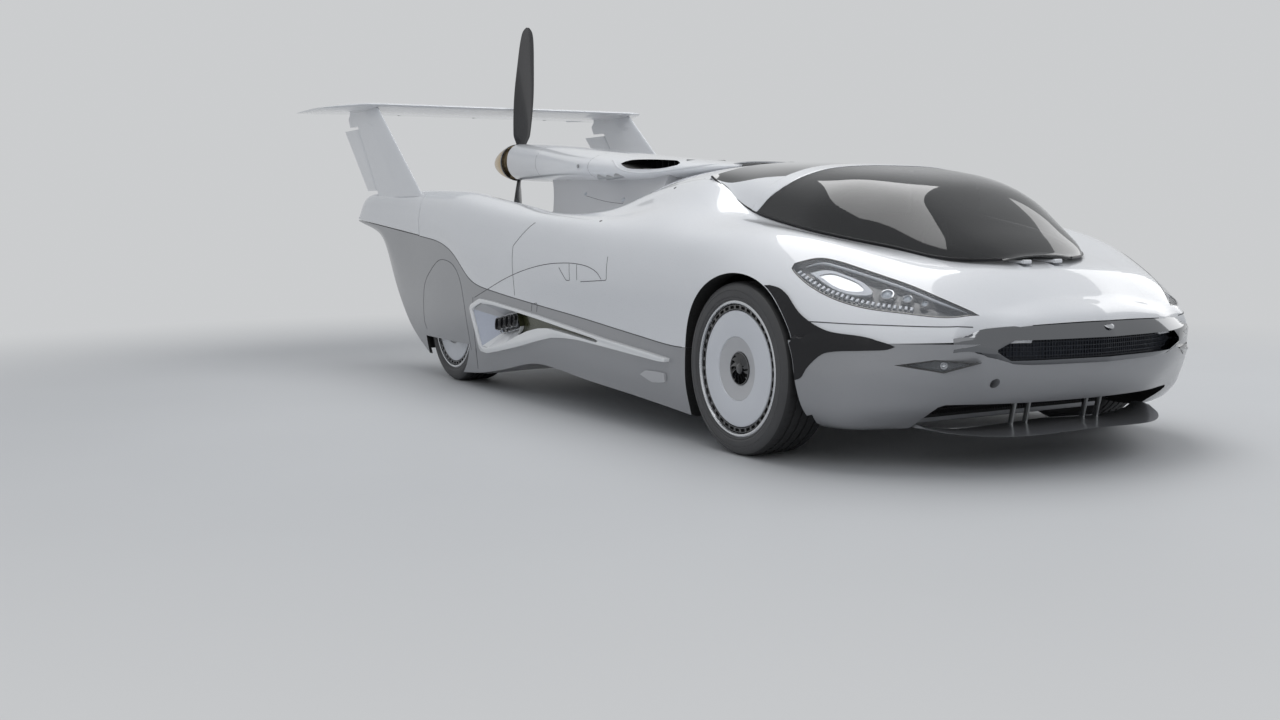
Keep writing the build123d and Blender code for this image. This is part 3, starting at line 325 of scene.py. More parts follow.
def carve(obj, cutters, angle=35, operation="DIFFERENCE"):
    """Cuts each cutter's volume away; the cut faces take the cutter's material."""
    for cutter in cutters:
        step = obj.modifiers.new("cut", "BOOLEAN")
        step.operation = operation
        step.solver = "EXACT"
        step.material_mode = "TRANSFER"
        step.object = cutter
    bpy.context.view_layer.update()
    baked(obj)
    outward(obj)
    finish_surface(obj, angle)
    return obj


def discard(*objs):
    for obj in objs:
        bpy.data.objects.remove(obj)


def joined(name, objs):
    """One piece from several meshes."""
    bpy.ops.object.select_all(action="DESELECT")
    for obj in objs:
        obj.select_set(True)
    bpy.context.view_layer.objects.active = objs[0]
    bpy.ops.object.join()
    objs[0].name = name
    return objs[0]


def softened(obj, width=0.002, segments=2, angle=30):
    """Rounds the hard edges."""
    step = obj.modifiers.new("edge", "BEVEL")
    step.width = width
    step.segments = segments
    step.limit_method = "ANGLE"
    step.angle_limit = math.radians(angle)
    step.harden_normals = False
    baked(obj)
    finish_surface(obj, 40)
    return obj


def placed(obj, body, node_names):
    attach(obj, body)
    if node_names:
        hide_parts(*node_names)
    return obj


def block(name, low, high, material=None, edge=0.0):
    """A box between two corners, with softened edges when edge is given."""
    x0, y0, z0 = low
    x1, y1, z1 = high
    rings = [[(x, y0, z0), (x, y1, z0), (x, y1, z1), (x, y0, z1)] for x in (x0, x1)]
    obj = loops(name, rings, material)
    if edge:
        softened(obj, edge)
    return obj


def tube(name, path, radius, material=None, sides=16, closed=False):
    """A round bar along points; radius is one number or one for each point."""
    pts = [Vector(p) for p in path]
    radii = radius if hasattr(radius, "__len__") else [radius] * len(pts)
    rings = []
    normal = None
    for k, p in enumerate(pts):
        ahead = pts[(k + 1) % len(pts)] if closed or k < len(pts) - 1 else p
        behind = pts[k - 1] if closed or k > 0 else p
        along = (ahead - behind).normalized()
        if normal is None:
            helper = Vector((0, 0, 1)) if abs(along.z) < 0.9 else Vector((1, 0, 0))
            normal = along.cross(helper).normalized()
        normal = (normal - along * normal.dot(along)).normalized()
        other = along.cross(normal)
        ring = []
        for s in range(sides):
            a = 2 * math.pi * s / sides
            ring.append(p + (normal * math.cos(a) + other * math.sin(a)) * radii[k])
        rings.append(ring)
    return loops(name, rings, material, closed_rows=closed)


def turned(name, profile, centre, material=None, sides=96, axis="Y", angle=30):
    """A ring or disc turned about an axis through centre; the profile is (radius, along)."""
    cx, cy, cz = centre
    closed_profile = profile[0][0] > 1e-6 and profile[-1][0] > 1e-6
    verts, faces = [], []
    for s in range(sides):
        a = 2 * math.pi * s / sides
        for r, w in profile:
            if axis == "Y":
                verts.append((cx + r * math.cos(a), cy + w, cz + r * math.sin(a)))
            else:
                verts.append((cx + w, cy + r * math.cos(a), cz + r * math.sin(a)))
    n = len(profile)
    for s in range(sides):
        t = (s + 1) % sides
        for k in range(n if closed_profile else n - 1):
            q = (k + 1) % n
            faces.append((s * n + k, s * n + q, t * n + q, t * n + k))
    return new_object(name, verts, faces, material, angle)


def rod(name, a, b, radius, material=None, sides=24):
    return tube(name, [a, b], radius, material, sides)


# Materials

def shader(name):
    mat = bpy.data.materials.new(name)
    mat.use_nodes = True
    nodes = mat.node_tree.nodes
    return mat, nodes, mat.node_tree.links, nodes["Principled BSDF"]


def noise(nodes, links, scale, detail=3.0, rough=0.5, stretch=None):
    """Noise over the object's own coordinates."""
    place = nodes.new("ShaderNodeTexCoord")
    out = place.outputs["Object"]
    if stretch:
        mapping = nodes.new("ShaderNodeMapping")
        mapping.inputs["Scale"].default_value = stretch
        links.new(out, mapping.inputs["Vector"])
        out = mapping.outputs["Vector"]
    tex = nodes.new("ShaderNodeTexNoise")
    tex.inputs["Scale"].default_value = scale
    tex.inputs["Detail"].default_value = detail
    tex.inputs["Roughness"].default_value = rough
    links.new(out, tex.inputs["Vector"])
    return tex.outputs["Fac"]


def ranged(nodes, links, value, low, high, from_low=0.3, from_high=0.7):
    step = nodes.new("ShaderNodeMapRange")
    step.inputs["From Min"].default_value = from_low
    step.inputs["From Max"].default_value = from_high
    step.inputs["To Min"].default_value = low
    step.inputs["To Max"].default_value = high
    links.new(value, step.inputs["Value"])
    return step.outputs["Result"]


def tinted(nodes, links, value, dark, light):
    mix = nodes.new("ShaderNodeMix")
    mix.data_type = "RGBA"
    mix.inputs["A"].default_value = (*dark, 1)
    mix.inputs["B"].default_value = (*light, 1)
    links.new(value, mix.inputs["Factor"])
    return mix.outputs["Result"]


def bumped(nodes, links, bsdf, value, depth, strength=1.0):
    bump = nodes.new("ShaderNodeBump")
    bump.inputs["Distance"].default_value = depth
    bump.inputs["Strength"].default_value = strength
    links.new(value, bump.inputs["Height"])
    links.new(bump.outputs["Normal"], bsdf.inputs["Normal"])
    return bump


def finish_of(name, color, rough, metal=0.0, coat=0.0, coat_rough=0.04, vary=0.04, grain=90.0, depth=0.00004,
              rough_vary=0.2, stretch=None, specular=0.5):
    """A surface with slight colour change, uneven roughness and fine relief."""
    mat, nodes, links, bsdf = shader(name)
    wide = noise(nodes, links, 1.7, 4.0, 0.55)
    fine = noise(nodes, links, grain, 3.0, 0.6, stretch)
    dark = [c * (1 - vary) for c in color]
    light = [min(1.0, c * (1 + vary)) for c in color]
    links.new(tinted(nodes, links, ranged(nodes, links, wide, 0, 1), dark, light), bsdf.inputs["Base Color"])
    links.new(ranged(nodes, links, fine, rough * (1 - rough_vary), min(1, rough * (1 + rough_vary))),
              bsdf.inputs["Roughness"])
    bsdf.inputs["Metallic"].default_value = metal
    bsdf.inputs["Coat Weight"].default_value = coat
    bsdf.inputs["Coat Roughness"].default_value = coat_rough
    bsdf.inputs["Specular IOR Level"].default_value = specular
    bumped(nodes, links, bsdf, fine, depth)
    return mat


def glass_of(name, tint, see_through, rough=0.01):
    """Tinted glass: part of the light passes straight through, the rest sees a dark gloss."""
    mat, nodes, links, bsdf = shader(name)
    wide = noise(nodes, links, 2.2, 2.0, 0.5)
    links.new(tinted(nodes, links, wide, [c * 0.85 for c in tint], [c * 1.15 for c in tint]),
              bsdf.inputs["Base Color"])
    fine = noise(nodes, links, 40.0, 2.0, 0.5)
    links.new(ranged(nodes, links, fine, rough, rough * 2.0), bsdf.inputs["Roughness"])
    bsdf.inputs["IOR"].default_value = 1.5
    bsdf.inputs["Coat Weight"].default_value = 0.6
    bsdf.inputs["Coat Roughness"].default_value = 0.01
    bsdf.inputs["Alpha"].default_value = 1 - see_through
    return mat


def screened(name, color, rough, pitch, thread, metal=0.0):
    """Fine mesh: raised threads both ways over a dark ground."""
    mat, nodes, links, bsdf = shader(name)
    place = nodes.new("ShaderNodeTexCoord")
    waves = []
    for direction in ("Y", "Z"):
        wave = nodes.new("ShaderNodeTexWave")
        wave.bands_direction = direction
        wave.inputs["Scale"].default_value = pitch
        links.new(place.outputs["Object"], wave.inputs["Vector"])
        waves.append(ranged(nodes, links, wave.outputs["Fac"], 0, 1, 1 - thread, 1.0))
    top = nodes.new("ShaderNodeMath")
    top.operation = "MAXIMUM"
    links.new(waves[0], top.inputs[0])
    links.new(waves[1], top.inputs[1])
    links.new(tinted(nodes, links, top.outputs["Value"], [c * 0.15 for c in color], color), bsdf.inputs["Base Color"])
    bsdf.inputs["Roughness"].default_value = rough
    bsdf.inputs["Metallic"].default_value = metal
    bumped(nodes, links, bsdf, top.outputs["Value"], 0.001)
    return mat


WHITE = finish_of("white paint", (0.80, 0.815, 0.84), 0.32, coat=1.0, coat_rough=0.02, vary=0.015, grain=260,
                  depth=0.00001)
GREY = finish_of("silver grey paint", (0.31, 0.315, 0.33), 0.34, metal=0.3, coat=0.7, coat_rough=0.06, vary=0.02,
                 grain=300, depth=0.00001)
# Light grey; on the spine and on the upper facets of the trim bowls it is painted shade.
GREY_SOFT = finish_of("light grey", (0.50, 0.505, 0.52), 0.4, coat=0.4, vary=0.02, grain=200, depth=0.00002)
BLACK = finish_of("black gloss", (0.012, 0.012, 0.014), 0.12, coat=1.0, vary=0.1, grain=150, depth=0.00001)
BLACK_SATIN = finish_of("black satin", (0.014, 0.014, 0.016), 0.40, coat=0.1, coat_rough=0.2, vary=0.12, grain=300,
                        depth=0.00004, specular=0.25)
LINER = finish_of("dark liner", (0.012, 0.012, 0.012), 0.75, vary=0.2, grain=120, depth=0.0004)
LINE = finish_of("gap shadow", (0.06, 0.062, 0.068), 0.7, vary=0.2, grain=120, depth=0.0001)
CHROME = finish_of("chrome", (0.50, 0.51, 0.53), 0.07, metal=1.0, vary=0.02, grain=60, depth=0.000005)
DARK_CHROME = finish_of("dark chrome", (0.17, 0.175, 0.185), 0.06, metal=1.0, coat=0.3, vary=0.02, grain=60,
                        depth=0.000005)
STEEL = finish_of("machined steel", (0.36, 0.37, 0.38), 0.34, metal=1.0, vary=0.12, grain=220, depth=0.00005,
                  stretch=(1, 8, 1))
SILVER = finish_of("silver lip", (0.66, 0.67, 0.69), 0.24, metal=0.9, vary=0.03, grain=160, depth=0.00002)
CAST = finish_of("cast aluminium", (0.42, 0.42, 0.43), 0.5, metal=0.9, vary=0.1, grain=180, depth=0.0005)
TYRE = finish_of("tyre rubber", (0.022, 0.022, 0.023), 0.62, vary=0.18, grain=260, depth=0.0003, rough_vary=0.18)
SIDEWALL = finish_of("sidewall rubber", (0.060, 0.060, 0.062), 0.52, vary=0.12, grain=320, depth=0.0002)
LEATHER = finish_of("black leather", (0.035, 0.034, 0.036), 0.5, vary=0.15, grain=420, depth=0.0006, rough_vary=0.25)
LEATHER_PALE = finish_of("grey leather", (0.20, 0.20, 0.205), 0.52, vary=0.1, grain=420, depth=0.0006, rough_vary=0.2)
STITCH = finish_of("thread", (0.45, 0.45, 0.46), 0.7, vary=0.15, grain=900, depth=0.0003)
CARPET = finish_of("carpet", (0.03, 0.03, 0.032), 0.95, vary=0.35, grain=700, depth=0.0015, specular=0.2)
PLASTIC = finish_of("grained plastic", (0.03, 0.03, 0.032), 0.55, vary=0.12, grain=500, depth=0.0003)
SCREEN = finish_of("display glass", (0.008, 0.010, 0.014), 0.07, coat=1.0, coat_rough=0.01, vary=0.2, grain=30,
                   depth=0.000002)
GLASS = glass_of("tinted glass", (0.010, 0.011, 0.013), 0.26)
CLEAR = glass_of("clear cover", (0.65, 0.68, 0.72), 0.90)
LENS = glass_of("lens glass", (0.55, 0.62, 0.70), 0.45)
LAMP_WHITE = finish_of("lamp silver", (0.44, 0.46, 0.50), 0.36, metal=0.3, coat=0.1, vary=0.03, grain=120,
                       depth=0.00002)
LAMP_BLACK = finish_of("lamp black", (0.016, 0.017, 0.020), 0.22, coat=0.8, vary=0.1, grain=150, depth=0.00002)
GRILLE_BLUE = screened("grille mesh", (0.050, 0.060, 0.085), 0.38, 90.0, 0.35)
ROOF_GLASS = finish_of("roof glass", (0.010, 0.011, 0.012), 0.06, coat=1.0, coat_rough=0.01, vary=0.1, grain=60,
                       depth=0.000002)
BRONZE = finish_of("bronze", (0.48, 0.37, 0.22), 0.22, metal=1.0, vary=0.06, grain=90, depth=0.00002)
CARBON = finish_of("satin carbon", (0.016, 0.016, 0.018), 0.3, coat=0.5, coat_rough=0.1, vary=0.2, grain=500,
                   depth=0.00006)
OLIVE = finish_of("dark olive", (0.045, 0.048, 0.020), 0.3, metal=0.3, coat=0.5, vary=0.15, grain=160, depth=0.0001)
TRIM_WHITE = finish_of("trim white", (0.84, 0.85, 0.86), 0.22, coat=0.8, coat_rough=0.03, vary=0.01, grain=220,
                       depth=0.000008)
# Painted shade: a cooler, darker copy of the trim white, given to one end facet of the trim bowl.
TRIM_PAINTED_COOL_SHADE = finish_of("trim cool grey", (0.52, 0.56, 0.66), 0.25, coat=0.8, coat_rough=0.03, vary=0.02, grain=220,
                      depth=0.000008)
WHEEL_WHITE = finish_of("wheel white", (0.68, 0.70, 0.74), 0.36, coat=0.5, coat_rough=0.08, vary=0.015, grain=260,
                        depth=0.00001)


# Draping on the body

def tree_of(*objs):
    bm = bmesh.new()
    for obj in objs:
        bm.from_mesh(obj.data)
    tree = BVHTree.FromBMesh(bm)
    bm.free()
    return tree


def outline_grid(points, pitch):
    """Flat triangles inside a closed outline, cut along a grid so that they can bend."""
    bm = bmesh.new()
    bm.faces.new([bm.verts.new((u, v, 0)) for u, v in points])
    bmesh.ops.triangulate(bm, faces=bm.faces[:])
    for axis in (0, 1):
        values = [p[axis] for p in points]
        normal = (1, 0, 0) if axis == 0 else (0, 1, 0)
        for k in range(math.ceil(min(values) / pitch), math.floor(max(values) / pitch) + 1):
            co = (k * pitch, 0, 0) if axis == 0 else (0, k * pitch, 0)
            bmesh.ops.bisect_plane(bm, geom=bm.verts[:] + bm.edges[:] + bm.faces[:], plane_co=co, plane_no=normal)
    bmesh.ops.remove_doubles(bm, verts=bm.verts, dist=1e-5)
    bmesh.ops.triangulate(bm, faces=bm.faces[:])
    bm.verts.index_update()
    verts = [(v.co.x, v.co.y) for v in bm.verts]
    faces = [tuple(v.index for v in f.verts) for f in bm.faces]
    bm.free()
    return verts, faces


def sheet_solid(name, pts, normals, faces, out, inn, material, angle=35):
    """A thin closed skin on both sides of a surface."""
    n = len(pts)
    verts = [p + k * out for p, k in zip(pts, normals)] + [p - k * inn for p, k in zip(pts, normals)]
    used = {}
    for f in faces:
        for a, b in zip(f, f[1:] + f[:1]):
            used[(a, b)] = used.get((a, b), 0) + 1
    rim = [(a, b) for (a, b) in used if (b, a) not in used]
    skin = list(faces) + [tuple(n + k for k in reversed(f)) for f in faces]
    skin += [(b, a, n + a, n + b) for a, b in rim]
    return new_object(name, verts, skin, material, angle)


def lined(obj, material, test):
    """Gives the faces that pass the test a second material."""
    obj.data.materials.append(material)
    index = len(obj.data.materials) - 1
    for face in obj.data.polygons:
        if test(face.normal, face.center):
            face.material_index = index
    return obj


def patch_on(name, tree, outline, direction, pitch, out, inn, material, straight=False, beside=()):
    """A skin over the closed outline, laid on the surface that direction looks at; beside bridges a slit."""
    n = Vector(direction).normalized()
    helper = Vector((0, 0, 1)) if abs(n.z) < 0.9 else Vector((1, 0, 0))
    e1 = n.cross(helper).normalized()
    e2 = n.cross(e1)
    points = [Vector(p) for p in outline]
    flat = [(p.dot(e1), p.dot(e2)) for p in points]
    base = min(p.dot(n) for p in points) - 0.6
    verts, faces = outline_grid(flat, pitch)
    pts, normals = [], []
    for u, v in verts:
        start = e1 * u + e2 * v + n * base
        place, normal, _, _ = tree.ray_cast(start, n)
        for offset in beside:
            other, other_normal, _, reach = tree.ray_cast(start + Vector(offset), n)
            if other is not None and (place is None or reach < (place - start).length):
                place, normal = start + n * reach, other_normal
        if place is None:
            place, normal, _, _ = tree.find_nearest(start + n * 0.6)
        pts.append(place)
        normals.append(-n if straight else normal)
    return sheet_solid(name, pts, normals, faces, out, inn, material)


def on_top(tree, x, y):
    place, normal, _, _ = tree.ray_cast(Vector((x, y, 3)), Vector((0, 0, -1)))
    return place, normal


def on_side(tree, x, z):
    place, normal, _, _ = tree.ray_cast(Vector((x, 2, z)), Vector((0, -1, 0)))
    return place, normal


def traced(tree, points, step=0.012, smooth=True):
    """A path through points, pulled onto the surface, with the surface's normals."""
    pts = np.asarray(points, float)
    length = np.linalg.norm(np.diff(pts, axis=0), axis=1).sum()
    count = max(3, int(length / step) + 1)
    line = flowing(pts, count, 0.0 if smooth else 1.0)
    places, normals = [], []
    for p in line:
        place, normal, _, _ = tree.find_nearest(Vector(p))
        places.append(place)
        normals.append(normal)
    return places, normals


def ribbon(name, places, normals, width, out=0.0006, inn=0.003, material=None):
    """A narrow strip that lies in the surface, as a panel gap does."""
    rings = []
    for k, p in enumerate(places):
        along = (places[min(k + 1, len(places) - 1)] - places[max(k - 1, 0)]).normalized()
        across = along.cross(normals[k]).normalized() * (width / 2)
        up = normals[k]
        rings.append([p - across + up * out, p + across + up * out, p + across - up * inn, p - across - up * inn])
    return loops(name, rings, material or LINE)


def side_points(points, y=0.98):
    return [(x, y, z) for x, z in points]


# Body shells

def section_columns(x):
    """The outside of the body at each x, from crown to seam, with the middle's foot for the tangent."""
    upper = columns(UPPER + BOOM, x)
    middle = columns(MIDDLE, np.clip(x, -1.29, 2.89))
    return upper, middle


def body_profile(x, count=44):
    """Points from the crown down the outside to the seam, at every x."""
    x = np.asarray(x, float)
    (iy, cy, cz, by, bz, hy, hz, fy, fz, sy, sz), (ey, ez, ty, tz, rz) = section_columns(x)
    out = []
    for k in range(len(x)):
        lead = [(ty[k], tz[k])] if abs(x[k]) < 9 else []
        pts = lead + [(cy[k], cz[k]), (by[k], bz[k]), (hy[k], hz[k]), (fy[k], fz[k]), (sy[k], sz[k])]
        line = flowing(pts, count + 30)
        first = int(np.argmin(np.abs(line[:, 0] - cy[k]) + np.abs(line[:, 1] - cz[k])))
        line = line[first:]
        line[0] = (cy[k], cz[k])
        run = np.concatenate([[0], np.cumsum(np.linalg.norm(np.diff(line, axis=0), axis=1))])
        even = np.linspace(0, run[-1], count)
        out.append(np.stack([np.interp(even, run, line[:, a]) for a in (0, 1)], axis=1))
    return np.array(out)


def side_rings(xs, floor_at_seam=True):
    """Closed rings of a body side: down the outside, in along the seam, up the inner wall."""
    outer = body_profile(xs)
    upper, _ = section_columns(xs)
    iy, sz, cz = upper[0], upper[10], upper[2]
    rings = []
    for k, x in enumerate(xs):
        ring = [(x, y, z) for y, z in outer[k]]
        sy = outer[k][-1][0]
        for t in (0.33, 0.66, 1.0):
            ring.append((x, sy + (iy[k] - sy) * t, sz[k]))
        for t in (0.33, 0.66, 1.0):
            ring.append((x, iy[k], sz[k] + (cz[k] - sz[k]) * t))
        rings.append(ring)
    return rings


def arch_cutters(side):
    """Air around a front wheel, with a dark lining."""
    lip = turned("lip", [(0.0, TUB_HALF_WIDTH), (ARCH_LIP_R, TUB_HALF_WIDTH), (ARCH_LIP_R, 1.2), (0.0, 1.2)],
                 (FRONT_AXLE_X, 0, TYRE_R), LINER, 128)
    room = turned("room", [(0.0, TUB_HALF_WIDTH + 0.001), (ARCH_ROOM_R, TUB_HALF_WIDTH + 0.001),
                           (ARCH_ROOM_R, ARCH_LIP_Y), (0.0, ARCH_LIP_Y)], (FRONT_AXLE_X, 0, TYRE_R), LINER, 128)
    below = block("below", (FRONT_AXLE_X - ARCH_LIP_R, TUB_HALF_WIDTH + 0.002, -0.05),
                  (FRONT_AXLE_X + ARCH_LIP_R, 1.19, TYRE_R), LINER)
    cutters = [lip, room, below]
    if side < 0:
        for c in cutters:
            c.data.transform(Matrix.Diagonal((1, -1, 1, 1)))
            c.data.flip_normals()
    return cutters


NOSE_STATION_X = 2.842
NOSE_HALF_WIDTH = 0.540
NOSE_PLAN = [(0.0, 2.988), (0.30, 2.948), (0.48, 2.888), (0.54, 2.860), (0.565, 2.846)]


def nose_front(y):
    """Plan outline of the nose at its front edge."""
    return float(monotone([p[0] for p in NOSE_PLAN], [p[1] for p in NOSE_PLAN], np.array([abs(y)]))[0])


def nose_cap(count=14):
    """Surface points of the nose ahead of the last plain station, from the centre line to the seam."""
    outer = body_profile(np.array([NOSE_STATION_X - 0.02, NOSE_STATION_X]))
    _, (ey, ez, ty, tz, rz) = section_columns(np.array([NOSE_STATION_X - 0.02, NOSE_STATION_X]))
    lines = []
    for k in (0, 1):
        mid = flowing([(0, rz[k]), (ty[k], tz[k]), (outer[k][0][0], outer[k][0][1]), tuple(outer[k][6])], 40)
        stop = int(np.argmin(np.linalg.norm(mid - outer[k][0], axis=1)))
        mid = mid[:stop + 1]
        mid[-1] = outer[k][0]
        run = np.linspace(0, 1, len(mid))
        even = np.linspace(0, 1, 24)
        mid = np.stack([np.interp(even, run, mid[:, a]) for a in (0, 1)], axis=1)
        lines.append(np.concatenate([mid[:-1], outer[k]]))
    start, before = lines[1], lines[0]
    rate = (start - before) / 0.02
    widest = start[:, 0].max()
    rows = []
    for t in np.linspace(0, 1, count):
        row = []
        for j, (y, z) in enumerate(start):
            share = y / widest
            end_y = share * NOSE_HALF_WIDTH * 0.99
            end_x = nose_front(end_y)
            top = 0.541 - 0.018 * share ** 2
            low = (j - 23) / (len(start) - 24) if j > 23 else 0.0
            edge = max(0.0, low)
            end_z = top - 0.05 * edge ** 1.5
            length = end_x - NOSE_STATION_X
            a = (1 + 2 * t) * (1 - t) ** 2
            b = t * (1 - t) ** 2
            c = t * t * (3 - 2 * t)
            d = t * t * (t - 1)
            py = a * y + b * length * rate[j][0] + c * end_y + d * length * (-0.1 * share)
            pz = a * z + b * length * rate[j][1] + c * end_z + d * length * (-1.1)
            px = NOSE_STATION_X + length * (a * 0 + b * 1.0 + c * 1.0 + d * 0.35)
            row.append((px, py, pz))
        rows.append(row)
    return rows


def build_body_sides():
    xs = np.concatenate([[BOOM_SPLIT_X], np.arange(-1.28, NOSE_STATION_X - 0.01, 0.02), [NOSE_STATION_X]])
    rings = side_rings(xs)
    cap = nose_cap()
    for row in cap[1:]:
        ring = list(row[23:])
        x_c, y_c, z_c = ring[0]
        x_s, y_s, z_s = ring[-1]
        for t in (0.33, 0.66, 1.0):
            ring.append((x_s + (x_c - x_s) * t, y_s + (y_c - y_s) * t * 0.98, 0.472 + 0.0 * t))
        for t in (0.33, 0.66, 1.0):
            ring.append((x_c - 0.01, y_c - 0.02 + 0.01 * t, 0.472 + (z_c - 0.472) * t * 0.97))
        rings.append(ring)
    left = loops("body_side_left", rings, WHITE)
    cutters = arch_cutters(1)
    carve(left, cutters)
    discard(*cutters)
    bare = left.copy()
    bare.data = left.data.copy()
    build_headlamp(left)
    right = mirrored(left, "body_side_right")
    placed(left, "body", ["body_side_left", "fender_left"])
    placed(right, "body", ["body_side_right", "fender_right"])
    return bare


def middle_rings(xs, depth):
    """Closed rings of a skin across the car, from crown to crown, with its underside a little lower."""
    outer = body_profile(xs)
    _, (ey, ez, ty, tz, rz) = section_columns(xs)
    rings = []
    for k, x in enumerate(xs):
        cy, cz = outer[k][0]
        ny, nz = outer[k][7]
        half = flowing([(-ty[k], tz[k]), (0, rz[k]), (ty[k], tz[k]), (cy, cz), (ny, nz)], 160)
        keep = [tuple(p) for p in half if 0 < p[0] < cy - 0.004]
        line = [(0, np.interp(0, half[:, 0], half[:, 1]))] + keep[::3] + [(cy, cz)]
        run = np.linspace(0, 1, len(line))
        even = np.linspace(0, 1, 30)
        arr = np.asarray(line)
        arr = np.stack([np.interp(even, run, arr[:, a]) for a in (0, 1)], axis=1)
        top = [(x, -y, z) for y, z in arr[::-1]] + [(x, y, z) for y, z in arr[1:]]
        under = [(px, py * 0.985, pz - depth) for px, py, pz in top[::-1]]
        rings.append(top + under)
    return rings


def build_deck():
    xs = np.concatenate([np.arange(-1.29, CANOPY_REAR_X, 0.02), [CANOPY_REAR_X]])
    deck = loops("rear_deck", middle_rings(xs, 0.022), WHITE)
    lined(deck, PLASTIC, lambda normal, place: normal.z < -0.3 or (normal.x > 0.8 and place.x > 1.28))
    return placed(deck, "body", ["rear_deck"])


def build_bonnet():
    xs = np.concatenate([np.arange(2.46, NOSE_STATION_X - 0.01, 0.02), [NOSE_STATION_X]])
    rings = middle_rings(xs, 0.02)
    cap = nose_cap()
    for row in cap[1:]:
        arr = np.asarray([(p[0], p[1], p[2]) for p in row[:24]])
        run = np.linspace(0, 1, 24)
        even = np.linspace(0, 1, 30)
        arr = np.stack([np.interp(even, run, arr[:, a]) for a in (0, 1, 2)], axis=1)
        top = [(x, -y, z) for x, y, z in arr[::-1]] + [(x, y, z) for x, y, z in arr[1:]]
        under = [(px - 0.012, py * 0.985, pz - 0.02) for px, py, pz in top[::-1]]
        rings.append(top + under)
    bonnet = loops("bonnet", rings, WHITE)
    lined(bonnet, PLASTIC, lambda normal, place: normal.z < -0.3 or normal.x < -0.8)
    pockets = [block("pocket", (2.552, a, 0.725), (2.6745, b, 0.80), WHITE)
               for a, b in ((0.0588, 0.1012), (-0.1012, -0.0588))]
    carve(bonnet, pockets)
    discard(*pockets)
    return placed(bonnet, "body", ["bonnet"])


def lower_profile(xs, count=26):
    sy, sz, wy, wz, ly, lz, fy = columns(LOWER, xs, 0.05)
    lines = []
    for k in range(len(xs)):
        pts = [(sy[k], sz[k]), (wy[k], wz[k]), (ly[k], lz[k])]
        line = flowing(pts, count)
        floor = flowing([(ly[k], lz[k]), (ly[k] - 0.02, lz[k] - 0.006), (fy[k], lz[k])], 8)
        lines.append(np.concatenate([line, floor[1:]]))
    return np.array(lines)


def build_hull():
    """Grey lower body between the arches: its two outer sides and the floor, one shell with the cabin hollow."""
    xs = np.concatenate([[POD_FRONT_X], np.arange(-0.44, 1.700, 0.03), [1.710]])
    lines = lower_profile(xs)
    rings = []
    for k, x in enumerate(xs):
        half = [(x, y, z) for y, z in lines[k]]
        rings.append(half + [(x, -y, z) for _, y, z in half[::-1]])
    hull = loops("hull_tub", rings, GREY)
    tub = block("tub_front", (1.63, -TUB_HALF_WIDTH, 0.130), (2.450, TUB_HALF_WIDTH, 0.440), GREY, 0.01)
    cabin = block("cabin_air", (0.760, -CABIN_HALF_WIDTH, 0.215), (2.380, CABIN_HALF_WIDTH, 1.3), PLASTIC)
    carve(hull, [cabin] + [c for s in (1, -1) for c in arch_cutters(s)])
    carve(tub, [cabin])
    discard(cabin, *[o for o in bpy.data.objects if o.name.split(".")[0] in ("lip", "room", "below")])
    tail_rings = []
    for x, ly, lz, hy, hz in ((-0.455, 0.600, 0.082, 0.604, 0.565), (-0.70, 0.600, 0.13, 0.602, 0.60),
                              (-0.985, 0.600, 0.230, 0.600, 0.640), (-1.290, 0.560, 0.480, 0.560, 0.700)):
        tail_rings.append([(x, ly, lz), (x, hy, hz), (x, -hy, hz), (x, -ly, lz)])
    tail = loops("hull_tail", tail_rings, LINER)
    hull = joined("hull_tub", [hull, tub, tail])
    return placed(hull, "body", ["hull_tub"])


def build_pods():
    xs = np.concatenate([np.arange(-2.425, POD_FRONT_X - 0.01, 0.025), [POD_FRONT_X]])
    lines = lower_profile(xs)
    top_y = monotone([r[0] for r in POD_TOP_Y], [r[1] for r in POD_TOP_Y], xs)
    rings = []
    for k, x in enumerate(xs):
        ring = [(x, y, z) for y, z in lines[k]]
        ring += [(x, ring[-1][1] + (top_y[k] - ring[-1][1]) * t, ring[-1][2] + (ring[0][2] - ring[-1][2]) * t)
                 for t in (0.5, 1.0)]
        rings.append(ring)
    pod = loops("wheel_pod_left", rings, GREY)
    inner_y = REAR_FACE_Y - TYRE_WIDTH - 0.014
    outer_y = REAR_FACE_Y + 0.008
    around = turned("around", [(0, inner_y), (TYRE_R + 0.022, inner_y), (TYRE_R + 0.022, outer_y), (0, outer_y)],
                    (REAR_AXLE_X, 0, TYRE_R), LINER, 96)
    below = block("below", (REAR_AXLE_X - TYRE_R - 0.022, inner_y + 0.001, -0.06),
                  (REAR_AXLE_X + TYRE_R + 0.022, outer_y - 0.001, TYRE_R), LINER)
    mouth = turned("mouth", [(0, inner_y), (TYRE_R + 0.010, inner_y), (TYRE_R + 0.010, 1.1), (0, 1.1)],
                   (REAR_AXLE_X, 0, TYRE_R), LINER, 96)
    low = block("low", (REAR_AXLE_X - TYRE_R, inner_y - 0.01, -0.06), (REAR_AXLE_X + TYRE_R, 1.12, 0.232), LINER)
    carve(mouth, [low], operation="INTERSECT")
    carve(pod, [around, below, mouth])
    discard(around, below, mouth, low)
    twin = mirrored(pod, "wheel_pod_right")
    placed(pod, "body", ["wheel_pods"])
    placed(twin, "body", ["wheel_pods"])
    return pod, twin


